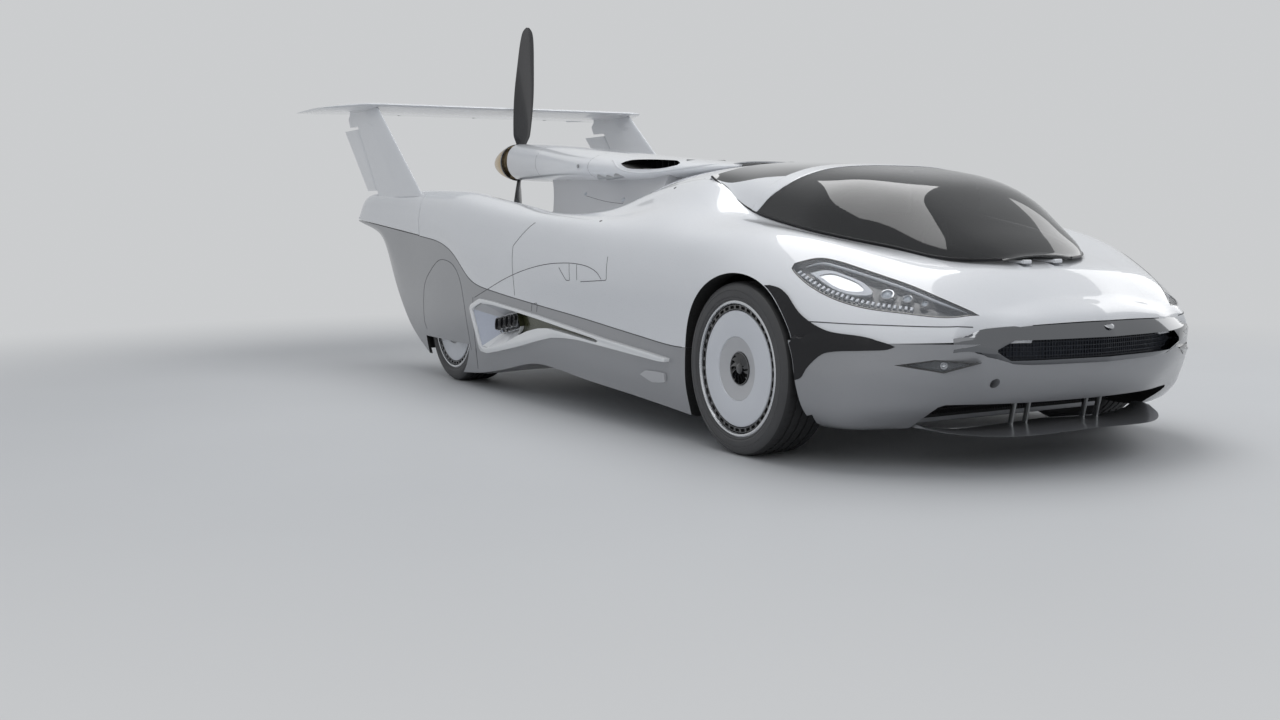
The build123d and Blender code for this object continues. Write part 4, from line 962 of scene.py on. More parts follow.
def build_booms():
    xs = np.concatenate([np.arange(-2.425, -1.31, 0.025), [-1.296]])
    outer = body_profile(xs)
    upper, _ = section_columns(xs)
    iy, sz = upper[0], upper[10]
    rings = []
    for k, x in enumerate(xs):
        ring = [(x, y, z) for y, z in outer[k]]
        base = 0.783 + (-0.985 - x) * SEAM_SLOPE + 0.006
        sy = outer[k][-1][0]
        ring[-1] = (x, sy, base)
        for t in (0.4, 0.8, 1.0):
            ring.append((x, sy + (iy[k] - sy) * t, base))
        rings.append(ring)
    boom = loops("boom_left", rings, WHITE)
    twin = mirrored(boom, "boom_right")
    placed(boom, "tail", ["tail_booms"])
    placed(twin, "tail", ["tail_booms"])


# Nose

BUMPER = [
    # z, corner_x, corner_y, cheek_x, cheek_y, end_x, end_y, quarter_x, quarter_y, front_x, rear_y
    (0.150, 2.530, 0.800, 2.590, 0.690, 2.640, 0.520, 2.665, 0.330, 2.675, 0.850),
    (0.165, 2.540, 0.840, 2.612, 0.712, 2.662, 0.520, 2.690, 0.330, 2.702, 0.880),
    (0.250, 2.560, 0.890, 2.690, 0.745, 2.800, 0.512, 2.868, 0.320, 2.900, 0.945),
    (0.380, 2.545, 0.912, 2.705, 0.778, 2.865, 0.535, 2.935, 0.330, 2.972, 0.975),
    (0.472, 2.525, 0.912, 2.705, 0.775, 2.885, 0.540, 2.955, 0.330, 2.986, 0.975),
]
BUMPER_REAR_X = 2.390
INTAKE_HALF_WIDTH = 0.600
INTAKE_TOP_Z = 0.250
TOW_Y, TOW_Z, TOW_FACE_X = -0.440, 0.330, 2.840
GRILLE = [
    # y, front_x, rear_x, top_z, bottom_z
    (0.000, 3.015, 2.900, 0.540, 0.392),
    (0.300, 2.975, 2.870, 0.535, 0.394),
    (0.480, 2.915, 2.810, 0.525, 0.412),
    (0.565, 2.868, 2.800, 0.500, 0.455),
    (0.600, 2.845, 2.800, 0.478, 0.466),
]
INSET_FACE = [(0.0, 2.975), (0.25, 2.945), (0.44, 2.885)]
INSET_LOW_Z, INSET_TOP_Z, INSET_HALF_WIDTH = 0.415, 0.478, 0.440
FOG_AT = Vector((2.812, 0.640, 0.396))
FOG_ALONG = Vector((0.205, -0.224, 0.005)).normalized()
FOG_NORMAL = Vector((0.737, 0.675, 0.0)).normalized()
FOG_OUTLINE = [(-0.150, 0.004), (-0.010, 0.022), (0.150, 0.010), (0.020, -0.026)]


def grille_room(grow=0.0, material=None):
    """The block that the chrome frame fills in the nose."""
    ys = np.linspace(0, 0.600, 28)
    fx, rx, tz, bz = (monotone([r[0] for r in GRILLE], [r[k] for r in GRILLE], ys) for k in range(1, 5))
    half = []
    for k, y in enumerate(ys):
        mid = (tz[k] + bz[k]) / 2
        g = grow
        half.append((y, [(fx[k] + g, mid - 0.030), (fx[k] + g, mid + 0.020), (fx[k] - 0.030 + g, tz[k] + g),
                         (rx[k], tz[k] + g), (rx[k], bz[k] - g), (fx[k] - 0.025 + g, bz[k] - g)]))
    rows = [(-y, pts) for y, pts in reversed(half[1:])] + half
    return loops("grille_room", [[(x, y, z) for x, z in pts] for y, pts in rows], material, angle=25)


def inset_window(front, back, low, top, half_width, material=None):
    """The slanted-ended opening of the grille; front and back are measured from its face."""
    ys = np.linspace(-half_width, half_width, 33)
    face = monotone([p[0] for p in INSET_FACE], [p[1] for p in INSET_FACE], np.abs(ys))
    mid = (low + top) / 2
    rings = []
    for y, x in zip(ys, face):
        closing = max(0.0, (abs(y) - (half_width - 0.055)) / 0.055)
        half = (top - low) / 2 * (1 - 0.86 * closing)
        rings.append([(x + front, y, mid - half), (x + front, y, mid + half), (x - back, y, mid + half),
                      (x - back, y, mid - half)])
    return loops("window", rings, material, angle=25)


def build_nose_lower(side_left):
    zs = np.linspace(BUMPER[0][0], BUMPER[-1][0], 20)
    cols = [monotone([r[0] for r in BUMPER], [r[k] for r in BUMPER], zs) for k in range(1, 11)]
    rings = []
    for k, z in enumerate(zs):
        cx, cy, kx, ky, ex, ey, qx, qy, fx, ry = [c[k] for c in cols]
        line = flowing([(BUMPER_REAR_X, ry), (cx, cy), (kx, ky), (ex, ey), (qx, qy), (fx, 0), (qx, -qy)], 200)
        line = [tuple(p) for p in line if p[1] > 0.0] + [(fx, 0.0)]
        run = np.linspace(0, 1, len(line))
        even = np.linspace(0, 1, 72)
        half = [(np.interp(t, run, [p[0] for p in line]), np.interp(t, run, [p[1] for p in line])) for t in even][:-1]
        rings.append([(x, y, z) for x, y in half] + [(fx, 0, z)] + [(x, -y, z) for x, y in reversed(half)])
    nose = loops("nose_lower", rings, GREY)
    intake = block("intake", (2.30, -INTAKE_HALF_WIDTH, 0.05), (3.2, INTAKE_HALF_WIDTH, INTAKE_TOP_Z), LINER, 0.03)
    tub = block("tub_air", (2.30, -0.576, 0.05), (2.456, 0.576, 0.60), LINER)
    seat = turned("seat", [(0, 0), (0.017, 0), (0.017, 0.3), (0, 0.3)], (TOW_FACE_X, TOW_Y, TOW_Z), GREY, 32, "X")
    hole = turned("hole", [(0, -0.06), (0.009, -0.06), (0.009, 0.1), (0, 0.1)], (TOW_FACE_X, TOW_Y, TOW_Z), LINER, 32, "X")
    cutters = [intake, tub, seat, hole, grille_room(0.0005, LINER)]
    for s in (1, -1):
        cutters += arch_cutters(s)
        cutters.append(fog_prism("fog_air", 1.0, -0.035, 0.05, BLACK, s))
    carve(nose, cutters, 30)
    discard(*cutters)
    placed(nose, "body", ["nose_lower"])
    return nose


def fog_prism(name, scale, back, front, material, side=1):
    """A diamond on the bumper's cheek between two depths along the cheek's normal."""
    up = FOG_NORMAL.cross(FOG_ALONG).normalized()
    if up.z < 0:
        up = -up
    rings = []
    for depth in (back, front):
        rings.append([FOG_AT + FOG_ALONG * a * scale + up * b * scale + FOG_NORMAL * depth for a, b in FOG_OUTLINE])
    if side < 0:
        rings = [[Vector((p.x, -p.y, p.z)) for p in ring] for ring in rings]
    return loops(name, rings, material)


def build_fog_lamps():
    made = []
    for side, word in ((1, "left"), (-1, "right")):
        rim = fog_prism("fog_rim_" + word, 0.99, -0.030, -0.001, BLACK, side)
        gap = fog_prism("gap", 0.80, -0.022, 0.05, LINER, side)
        carve(rim, [gap])
        discard(gap)
        lens = fog_prism("fog_lens_" + word, 0.80, -0.008, -0.004, CLEAR, side)
        bowl = turned("fog_bowl_" + word, [(0.0, -0.004), (0.008, -0.002), (0.012, 0.004), (0.013, 0.006)], (0, 0, 0),
                      CHROME, 32, "X", 60)
        thick = bowl.modifiers.new("wall", "SOLIDIFY")
        thick.thickness = 0.0015
        baked(bowl)
        turn = Vector((1, 0, 0)).rotation_difference(FOG_NORMAL).to_matrix().to_4x4()
        at = FOG_AT - FOG_NORMAL * 0.018 + FOG_ALONG * 0.02
        bowl.data.transform(Matrix.Translation(at) @ turn)
        if side < 0:
            bowl.data.transform(Matrix.Diagonal((1, -1, 1, 1)))
            bowl.data.flip_normals()
        for obj in (rim, bowl, lens):
            placed(obj, "body", ["fog_lamps"])
            made.append(obj)
    return made


def build_grille():
    frame_ring = grille_room(0.0, DARK_CHROME)
    mouth = inset_window(0.3, 0.2, INSET_LOW_Z - 0.004, INSET_TOP_Z + 0.006, INSET_HALF_WIDTH + 0.025, DARK_CHROME)
    carve(frame_ring, [mouth], 25)
    discard(mouth)
    frame_ring.name = "grille_ring"
    softened(frame_ring, 0.003, 2, 25)
    placed(frame_ring, "body", ["grille_frame"])
    panel = inset_window(-0.012, 0.05, INSET_LOW_Z - 0.004, INSET_TOP_Z + 0.006, INSET_HALF_WIDTH + 0.024, GRILLE_BLUE)
    panel.name = "grille_panel"
    bars = []
    count = 72
    for k in range(count):
        y = (k - (count - 1) / 2) * 0.0122
        x = float(np.interp(abs(y), [p[0] for p in INSET_FACE], [p[1] for p in INSET_FACE]))
        bars.append(block("bar", (x - 0.016, y - 0.0016, INSET_LOW_Z), (x - 0.006, y + 0.0016, INSET_TOP_Z), GRILLE_BLUE))
    for j in range(4):
        z = INSET_LOW_Z + (j + 0.5) * (INSET_TOP_Z - INSET_LOW_Z) / 4
        ys = np.linspace(-INSET_HALF_WIDTH, INSET_HALF_WIDTH, 25)
        xs = monotone([p[0] for p in INSET_FACE], [p[1] for p in INSET_FACE], np.abs(ys))
        bars.append(loops("bar", [[(x - 0.005, y, z - 0.0015), (x - 0.005, y, z + 0.0015), (x - 0.015, y, z + 0.0015),
                                   (x - 0.015, y, z - 0.0015)] for x, y in zip(xs, ys)], GRILLE_BLUE))
    mesh = joined("grille_mesh", bars)
    for obj in (panel, mesh):
        placed(obj, "body", ["grille_insert"])
    plate = turned("emblem_seat", [(0, -0.002), (0.020, -0.002), (0.0225, 0.0), (0.021, 0.0022), (0, 0.0028)],
                   (0, 0, 0), CHROME, 48, "X", 40)
    tilt = Matrix.Rotation(math.radians(-58), 4, "Y")
    plate.data.transform(Matrix.Translation((2.990, 0, 0.524)) @ tilt)
    placed(plate, "body", ["grille_frame"])


SPLITTER = [
    # y, front_x, rear_x, z
    (0.000, 2.955, 2.690, 0.148),
    (0.200, 2.938, 2.680, 0.141),
    (0.380, 2.888, 2.655, 0.135),
    (0.520, 2.790, 2.625, 0.143),
    (0.590, 2.690, 2.600, 0.158),
]


def build_splitter():
    ys = np.linspace(-0.590, 0.590, 61)
    fx, rx, z = (monotone([r[0] for r in SPLITTER], [r[k] for r in SPLITTER], np.abs(ys)) for k in (1, 2, 3))
    rings = []
    for k, y in enumerate(ys):
        chord = fx[k] - rx[k]
        ring = []
        for a in np.linspace(0, 2 * math.pi, 28, endpoint=False):
            u = (1 + math.cos(a)) / 2
            half = 0.0068 * (0.35 + 0.65 * math.sin(math.pi * min(1, u ** 0.7)))
            ring.append((rx[k] + chord * u, y, z[k] + half * math.sin(a) + 0.004 * (1 - u)))
        rings.append(ring)
    foil = loops("splitter_foil", rings, GREY, angle=50)
    placed(foil, "body", ["splitter"])
    parts = []
    for side in (-1, 1):
        for y in (0.150, 0.222):
            low, high = Vector((2.740, side * y, 0.140)), Vector((2.765, side * y, INTAKE_TOP_Z + 0.002))
            rings = []
            for t in np.linspace(0, 1, 9):
                c = low.lerp(high, t)
                w = 0.013 if 0.1 < t < 0.9 else 0.017
                rings.append([(c.x + w * math.cos(a), c.y + 0.42 * w * math.sin(a), c.z)
                              for a in np.linspace(0, 2 * math.pi, 20, endpoint=False)])
            parts.append(loops("strut", rings, STEEL))
            for c, up in ((low, 0.004), (high, -0.006)):
                parts.append(turned("foot", [(0.0, -0.002), (0.014, -0.002), (0.015, 0.0), (0.012, 0.003), (0.0, 0.003)],
                                    (0, 0, 0), STEEL, 24, "X"))
                parts[-1].data.transform(Matrix.Translation((c.x, c.y, c.z + up)) @ Matrix.Rotation(math.radians(-90), 4, "Y"))
    struts = joined("splitter_stays", parts)
    placed(struts, "body", ["splitter_struts"])


def build_intake():
    """Radiator behind the mouth under the bumper."""
    fins = []
    for k in range(86):
        y = (k - 42.5) * 0.0135
        fins.append(block("fin", (2.462, y - 0.0008, 0.158), (2.482, y + 0.0008, 0.246), PLASTIC))
    for j in range(5):
        z = 0.164 + j * 0.019
        fins.append(block("tube", (2.466, -0.590, z - 0.0016), (2.478, 0.590, z + 0.0016), PLASTIC))
    fins.append(block("back", (2.457, -0.596, 0.152), (2.4625, 0.596, 0.250), LINER))
    radiator = joined("intake_radiator", fins)
    placed(radiator, "body", [])


# Headlamps

LAMP_OUTLINE = [
    # x, y in plan, from the front tip round the outer edge and back
    (2.852, 0.494), (2.815, 0.578), (2.746, 0.664), (2.613, 0.778), (2.475, 0.850), (2.360, 0.880), (2.272, 0.872),
    (2.298, 0.830), (2.333, 0.790), (2.402, 0.750), (2.473, 0.716), (2.614, 0.645), (2.746, 0.572), (2.852, 0.494),
]
LAMP_LEAF = [(2.345, 0.846), (2.386, 0.800), (2.462, 0.762), (2.530, 0.738), (2.575, 0.740), (2.525, 0.790), (2.445, 0.828)]
LAMP_ROW = [(2.300, 0.868), (2.360, 0.862), (2.430, 0.845), (2.495, 0.818), (2.560, 0.785), (2.640, 0.732), (2.715, 0.668)]
LAMP_UPPER = [(2.312, 0.842), (2.350, 0.795), (2.410, 0.763), (2.480, 0.728), (2.614, 0.660), (2.740, 0.590), (2.825, 0.520)]
LAMP_DOWN = Vector((-0.42, -0.52, -0.74)).normalized()
LAMP_DEPTH = 0.034


def lamp_point(tree, x, y, depth):
    place, _ = on_top(tree, x, y)
    return place + LAMP_DOWN * depth


def build_headlamp(side):
    """Pocket in the fender with its lights, under a clear flush cover; made on the left and mirrored."""
    tree = tree_of(side)
    line = flowing(LAMP_OUTLINE, 72)[:-1]
    outline = [on_top(tree, x, y)[0] for x, y in line]
    pocket = patch_on("pocket", tree, outline, LAMP_DOWN, 0.03, 0.02, LAMP_DEPTH, LAMP_BLACK, straight=True)
    carve(side, [pocket])
    discard(pocket)
    pieces = []
    cover = patch_on("lamp_cover", tree, outline, LAMP_DOWN, 0.02, 0.0004, 0.0022, CLEAR)
    rim = [p + LAMP_DOWN * 0.002 for p in outline]
    pieces.append(tube("lamp_rim", rim, 0.0035, BLACK, 8, closed=True))
    upper = [lamp_point(tree, x, y, 0.012) for x, y in flowing(LAMP_UPPER, 40)]
    pieces.append(tube("lamp_strip", upper, [0.0045 * min(1.0, 8 * t, 8 * (1 - t)) + 0.001 for t in np.linspace(0, 1, 40)],
                       LAMP_WHITE, 10))
    leaf = [on_top(tree, x, y)[0] for x, y in flowing(LAMP_LEAF + LAMP_LEAF[:1], 40)[:-1]]
    plate = patch_on("lamp_leaf", tree, leaf, LAMP_DOWN, 0.02, -0.012, 0.022, LAMP_WHITE, straight=True)
    pieces.append(plate)
    centre = sum(leaf, Vector()) / len(leaf)
    inner = [centre + (p - centre) * 0.72 for p in leaf]
    hollow = patch_on("hollow", tree, inner, LAMP_DOWN, 0.02, 0.01, 0.016, CHROME, straight=True)
    carve(plate, [hollow])
    discard(hollow)
    turn = Vector((1, 0, 0)).rotation_difference(-LAMP_DOWN).to_matrix().to_4x4()
    for x, y, r in ((2.612, 0.706, 0.024), (2.672, 0.664, 0.018), (2.722, 0.628, 0.013)):
        at = lamp_point(tree, x, y, 0.022)
        barrel = turned("barrel", [(r * 0.80, 0.0), (r, 0.0), (r * 1.05, 0.004), (r * 1.05, 0.008), (r * 0.86, 0.009)],
                        (0, 0, 0), CHROME, 40, "X")
        lens = turned("lens", [(0.0, 0.010), (r * 0.45, 0.0085), (r * 0.75, 0.004), (r * 0.82, 0.0), (0.0, 0.0)],
                      (0, 0, 0), LENS, 40, "X", 60)
        bowl = turned("bowl", [(r * 1.30, -0.010), (r * 1.36, -0.010), (r * 1.30, 0.000), (r * 1.24, 0.000)],
                      (0, 0, 0), LAMP_BLACK, 40, "X")
        for obj in (barrel, lens, bowl):
            obj.data.transform(Matrix.Translation(at) @ turn)
            pieces.append(obj)
    row = flowing(LAMP_ROW, 25)
    for k in range(24):
        a = lamp_point(tree, *row[k], 0.016)
        b = lamp_point(tree, *row[k + 1], 0.016)
        along = (b - a).normalized()
        across = along.cross(LAMP_DOWN).normalized()
        mid = (a + b) / 2
        width, length, height = (b - a).length * 0.27, 0.0085, 0.006
        rings = []
        for s in (-1, 1):
            c = mid + along * s * width
            rings.append([c + across * i * length - LAMP_DOWN * j * height for i, j in ((-1, -1), (1, -1), (1, 1), (-1, 1))])
        bar = loops("led", rings, LAMP_WHITE)
        softened(bar, 0.0012, 1)
        pieces.append(bar)
        if k % 2 == 0:
            low = mid + across * 0.020 + LAMP_DOWN * 0.006
            pieces.append(rod("pin", low, low + across * 0.012, 0.0022, CHROME, 8))
    inner_set = joined("headlamp_inside_left", pieces)
    for obj, name in ((inner_set, "headlamp_inside"), (cover, "headlamp_cover")):
        obj.name = name + "_left"
        placed(obj, "body", ["headlamps"])
        placed(mirrored(obj, name + "_right"), "body", ["headlamps"])


# Black panels ahead of the front arches

def build_arch_panels(tree):
    arc = [(FRONT_AXLE_X + 0.3705 * math.cos(a), TYRE_R + 0.3705 * math.sin(a))
           for a in np.radians(np.linspace(-1, 62, 22))]
    upper = flowing([(2.250, 0.664), (2.292, 0.656), (2.335, 0.634), (2.420, 0.562), (2.517, 0.513), (2.640, 0.494),
                     (2.708, 0.471), (2.722, 0.462)], 40)
    lower = flowing([(2.722, 0.462), (2.705, 0.452), (2.640, 0.446), (2.560, 0.440), (2.523, 0.430), (2.470, 0.380),
                     (2.440, 0.338), (2.424, 0.331)], 36)[1:]
    outline = [(x, 1.0, z) for x, z in arc[::1]] + [(x, 1.0, z) for x, z in upper] + [(x, 1.0, z) for x, z in lower]
    panel = patch_on("arch_panel_left", tree, outline, (0, -1, 0), 0.02, 0.0016, 0.002, BLACK_SATIN,
                     beside=[(0, 0, 0.014), (0, 0, -0.014)])
    placed(panel, "body", ["arch_panels"])
    placed(mirrored(panel, "arch_panel_right"), "body", ["arch_panels"])


# Panel lines, markers and small fittings

AEROFOIL = [(-0.432, 0.491), (-0.250, 0.545), (-0.046, 0.602), (0.130, 0.642), (0.305, 0.673), (0.470, 0.693),
            (0.626, 0.702), (0.780, 0.701), (0.900, 0.687), (0.970, 0.664), (1.000, 0.640)]
SIDE_LINES = [
    # points in x, z; whether the path is smooth
    (AEROFOIL, True),
    ([(1.050, 0.742), (1.050, 0.638), (0.800, 0.622)], False),
    ([(0.766, 0.699), (0.764, 0.628)], False),
    ([(0.690, 0.700), (0.690, 0.624), (0.655, 0.622), (0.585, 0.680)], False),
    ([(0.265, 0.905), (0.065, 0.772), (0.068, 0.524)], False),
    ([(-0.518, 0.200), (-0.540, 0.307), (-0.588, 0.468), (-0.639, 0.575), (-0.712, 0.640), (-0.806, 0.672),
      (-0.953, 0.676), (-1.075, 0.622), (-1.192, 0.525), (-1.219, 0.320), (-1.180, 0.270)], True),
    ([(0.261, 0.456), (0.261, 0.491), (0.319, 0.499), (0.319, 0.456)], False),
    ([(-0.455, 0.490), (-0.455, 0.100)], False),
]
NOSE_LINE = [(2.440, 0.932, 0.541), (2.481, 0.910, 0.540), (2.583, 0.846, 0.537), (2.716, 0.731, 0.534),
             (2.814, 0.618, 0.532), (2.868, 0.530, 0.532)]
MARKER = [(1.329, 0.246), (1.380, 0.268), (1.528, 0.269), (1.528, 0.232), (1.421, 0.221)]
DOTS = [(0.834, 0.896), (1.065, 0.640), (1.245, 0.592)]


def build_side_lines(tree):
    lines = []
    for points, smooth in SIDE_LINES:
        places, normals = traced(tree, side_points(points), 0.012, smooth)
        lines.append(ribbon("line", places, normals, PANEL_LINE * 0.8))
    places, normals = traced(tree, NOSE_LINE)
    lines.append(ribbon("line", places, normals, PANEL_LINE))
    xs = np.concatenate([np.arange(-1.285, 1.655, 0.02), [1.655]])
    upper = columns(UPPER + BOOM, xs)
    seam = [Vector((x, y + 0.0002, z)) for x, y, z in zip(xs, upper[9], upper[10])]
    lines.append(ribbon("line", seam, [Vector((0, 1, 0))] * len(seam), PANEL_LINE))
    made = joined("panel_lines_left", lines)
    placed(made, "body", [])
    placed(mirrored(made, "panel_lines_right"), "body", [])
    marker = flowing(MARKER + MARKER[:1], 60, 0.75)[:-1]
    outline = [(x, 1.0, z) for x, z in marker]
    lamp = patch_on("side_marker_left", tree, outline, (0, -1, 0), 0.012, 0.009, 0.004, GREY_SOFT, straight=True)
    softened(lamp, 0.004, 3)
    placed(lamp, "body", [])
    placed(mirrored(lamp, "side_marker_right"), "body", [])
    dots = []
    for x, y in DOTS:
        place, normal = on_top(tree, x, y)
        turn = Vector((1, 0, 0)).rotation_difference(normal).to_matrix().to_4x4()
        dot = turned("dot", [(0.0, -0.002), (0.007, -0.002), (0.008, 0.0), (0.006, 0.0025), (0.0, 0.003)], (0, 0, 0),
                     BLACK, 24, "X")
        dot.data.transform(Matrix.Translation(place) @ turn)
        dots.append(dot)
    small = joined("body_caps_left", dots)
    placed(small, "body", [])
    placed(mirrored(small, "body_caps_right"), "body", [])


# Skins made from rows of points

def skin_rows(name, rows, out, inn, material, outward_from=(0, 0, 0.5), angle=35):
    """A closed sheet through rows of points, out above them and inn below."""
    pts = [Vector(p) for row in rows for p in row]
    faces = grid_faces(len(rows), len(rows[0]))
    mesh = bpy.data.meshes.new("draft")
    mesh.from_pydata(pts, [], faces)
    normals = [Vector(n.vector) for n in mesh.vertex_normals]
    bpy.data.meshes.remove(mesh)
    centre = Vector(outward_from)
    middle = len(pts) // 2
    if normals[middle].dot(pts[middle] - centre) < 0:
        normals = [-n for n in normals]
    return sheet_solid(name, pts, normals, faces, out, inn, material, angle)


# Canopy

HOOP_FRONT = [(0.000, 1.797), (0.163, 1.795), (0.297, 1.791), (0.423, 1.784), (0.520, 1.766), (0.558, 1.750),
              (0.583, 1.722), (0.616, 1.674), (0.700, 1.640)]
HOOP_REAR = [(0.000, 1.700), (0.314, 1.697), (0.426, 1.692), (0.530, 1.680), (0.581, 1.660), (0.616, 1.638),
             (0.700, 1.600)]
ROOF_EDGE = [(1.290, 0.610), (1.340, 0.592), (1.430, 0.572), (1.510, 0.548), (1.585, 0.515), (1.700, 0.470)]
CANOPY_BACK_X = 1.296


def canopy_section(x, s):
    """Point of the canopy's outside at x; s runs from 0 at the foot to 1 on the centre line."""
    base_y, base_z, low_y, low_z, mid_y, mid_z, top_z = [float(c) for c in columns(CANOPY, x, 0.035)]
    line = flowing([(base_y, base_z), (low_y, low_z), (mid_y, mid_z), (0.0, top_z), (-mid_y, mid_z)], 121)
    stop = int(np.argmin(np.abs(line[:, 0]) + (np.arange(121) < 40)))
    run = np.linspace(0, 1, stop + 1)
    y = np.interp(s, run, line[:stop + 1, 0])
    z = np.interp(s, run, line[:stop + 1, 1])
    y = np.where(np.asarray(s) >= 1.0, 0.0, y)
    return y, z


class CanopyGrid:
    """Canopy outside as a table, so that any x and s can be read fast."""

    def __init__(self):
        self.xs = np.arange(CANOPY_BACK_X, 2.6551, 0.0125)
        self.ss = np.linspace(0, 1, 33)
        self.y, self.z = [], []
        for x in self.xs:
            y, z = canopy_section(x, self.ss)
            self.y.append(y)
            self.z.append(z)
        self.y, self.z = np.array(self.y), np.array(self.z)

    def at(self, x, s):
        i = min(max((x - self.xs[0]) / 0.0125, 0), len(self.xs) - 1.0001)
        j = min(max(s * 32, 0), 31.9999)
        i0, j0 = int(i), int(j)
        a, b = i - i0, j - j0
        out = []
        for t in (self.y, self.z):
            out.append(t[i0][j0] * (1 - a) * (1 - b) + t[i0 + 1][j0] * a * (1 - b)
                       + t[i0][j0 + 1] * (1 - a) * b + t[i0 + 1][j0 + 1] * a * b)
        return Vector((x, out[0], out[1]))

    def edge(self, table, s):
        """x at which the line given as (y, x) crosses column s."""
        x = 1.7
        for _ in range(25):
            y = self.at(x, s).y
            x = 0.5 * x + 0.5 * float(np.interp(y, [p[0] for p in table], [p[1] for p in table]))
        return x


def build_canopy():
    grid = CanopyGrid()
    half_s = list(np.linspace(0, 1, 33))
    columns_s = [(1, s) for s in half_s] + [(-1, s) for s in half_s[-2::-1]]
    front_end = 2.655

    def zone(low, high, count):
        rows = []
        for u in np.linspace(0, 1, count):
            row = []
            for side, s in columns_s:
                x = low(s) + (high(s) - low(s)) * u
                p = grid.at(x, s)
                row.append(Vector((p.x, side * p.y, p.z)))
            rows.append(row)
        return rows

    hoop_front = {s: grid.edge(HOOP_FRONT, s) for s in half_s}
    hoop_rear = {s: grid.edge(HOOP_REAR, s) for s in half_s}
    glass = skin_rows("canopy_windscreen", zone(lambda s: hoop_front[s] + 0.001, lambda s: front_end, 70), 0.0, 0.006,
                      GLASS)
    hoop = skin_rows("canopy_hoop", zone(lambda s: hoop_rear[s], lambda s: hoop_front[s], 9), 0.0022, 0.016, WHITE)
    softened(hoop, 0.0018, 2, 50)
    inside = lambda normal, place: normal.dot(place - Vector((place.x, 0, 0.70))) < 0
    lined(hoop, BLACK_SATIN, inside)
    split = []
    for u in np.linspace(0, 1, 30):
        low, high = 0.0, 1.0
        for _ in range(30):
            s = (low + high) / 2
            x_end = float(np.interp(s, half_s, [hoop_rear[k] for k in half_s]))
            x = CANOPY_BACK_X + (x_end - CANOPY_BACK_X) * u
            limit = float(np.interp(x, [p[0] for p in ROOF_EDGE], [p[1] for p in ROOF_EDGE]))
            if grid.at(x, s).y > limit:
                low = s
            else:
                high = s
        split.append(max(0.004, (low + high) / 2))

    def rear_point(u, s, side):
        x_end = float(np.interp(s, half_s, [hoop_rear[k] for k in half_s])) - 0.001
        p = grid.at(CANOPY_BACK_X + (x_end - CANOPY_BACK_X) * u, s)
        return Vector((p.x, side * p.y, p.z))

    roof_rows, side_rows = [], []
    for u, cut in zip(np.linspace(0, 1, 30), split):
        half = [cut + (1 - cut) * t for t in np.linspace(0, 1, 24)]
        roof_rows.append([rear_point(u, s, 1) for s in half] + [rear_point(u, s, -1) for s in half[-2::-1]])
        side_rows.append([rear_point(u, (cut - 0.002) * t, 1) for t in np.linspace(0, 1, 8)])
    roof = skin_rows("canopy_roof", roof_rows, -0.0004, 0.008, ROOF_GLASS)
    flank = skin_rows("canopy_flank_left", side_rows, 0.0006, 0.008, WHITE, (1.5, 0, 0.9))
    lined(flank, BLACK_SATIN, inside)
    twin = mirrored(flank, "canopy_flank_right")
    hinges = []
    for side in (1, -1):
        low, high = sorted((side * 0.060, side * 0.100))
        hinges.append(block("strap", (2.557, low, 0.737), (2.663, high, 0.7475), WHITE, 0.002))
        hinges.append(rod("barrel", (2.665, low + 0.001, 0.743), (2.665, high - 0.001, 0.743), 0.0078, WHITE, 32))
    straps = joined("canopy_hinges", hinges)
    placed(straps, "canopy", ["canopy_frame"])
    seal = []
    for side in (1, -1):
        path = []
        for x in np.arange(CANOPY_BACK_X + 0.004, 2.648, 0.02):
            p = grid.at(x, 0.0)
            path.append((p.x, side * (p.y - 0.003), p.z + 0.0005))
        seal.append(tube("seal", path, 0.0048, BLACK_SATIN, 10))
    rubber = joined("canopy_seal", seal)
    for obj in (glass, hoop, roof, flank, twin, rubber):
        placed(obj, "canopy", ["canopy_glass"])
    return glass


# Engine pod, spine and roof

def pod_ring(x, top, half_w, half_h, count=56, power=2.25):
    ring = []
    for a in np.linspace(0, 2 * math.pi, count, endpoint=False):
        c, s = math.cos(a), math.sin(a)
        ring.append((x, half_w * math.copysign(abs(c) ** (2 / power), c),
                     top - half_h + half_h * math.copysign(abs(s) ** (2 / power), s)))
    return ring


INTAKE_LENS = [(-0.150, 1.199), (-0.120, 1.216), (-0.026, 1.220), (0.077, 1.217), (0.187, 1.211), (0.307, 1.201),
               (0.392, 1.179), (0.335, 1.167), (0.279, 1.161), (0.174, 1.158), (0.094, 1.161), (-0.046, 1.171)]
INTAKE_LIP = [(-0.273, 0.225, 1.223), (-0.098, 0.261, 1.166), (0.090, 0.253, 1.145), (0.250, 0.232, 1.149),
              (0.410, 0.199, 1.159), (0.534, 0.170, 1.166), (0.650, 0.126, 1.172)]


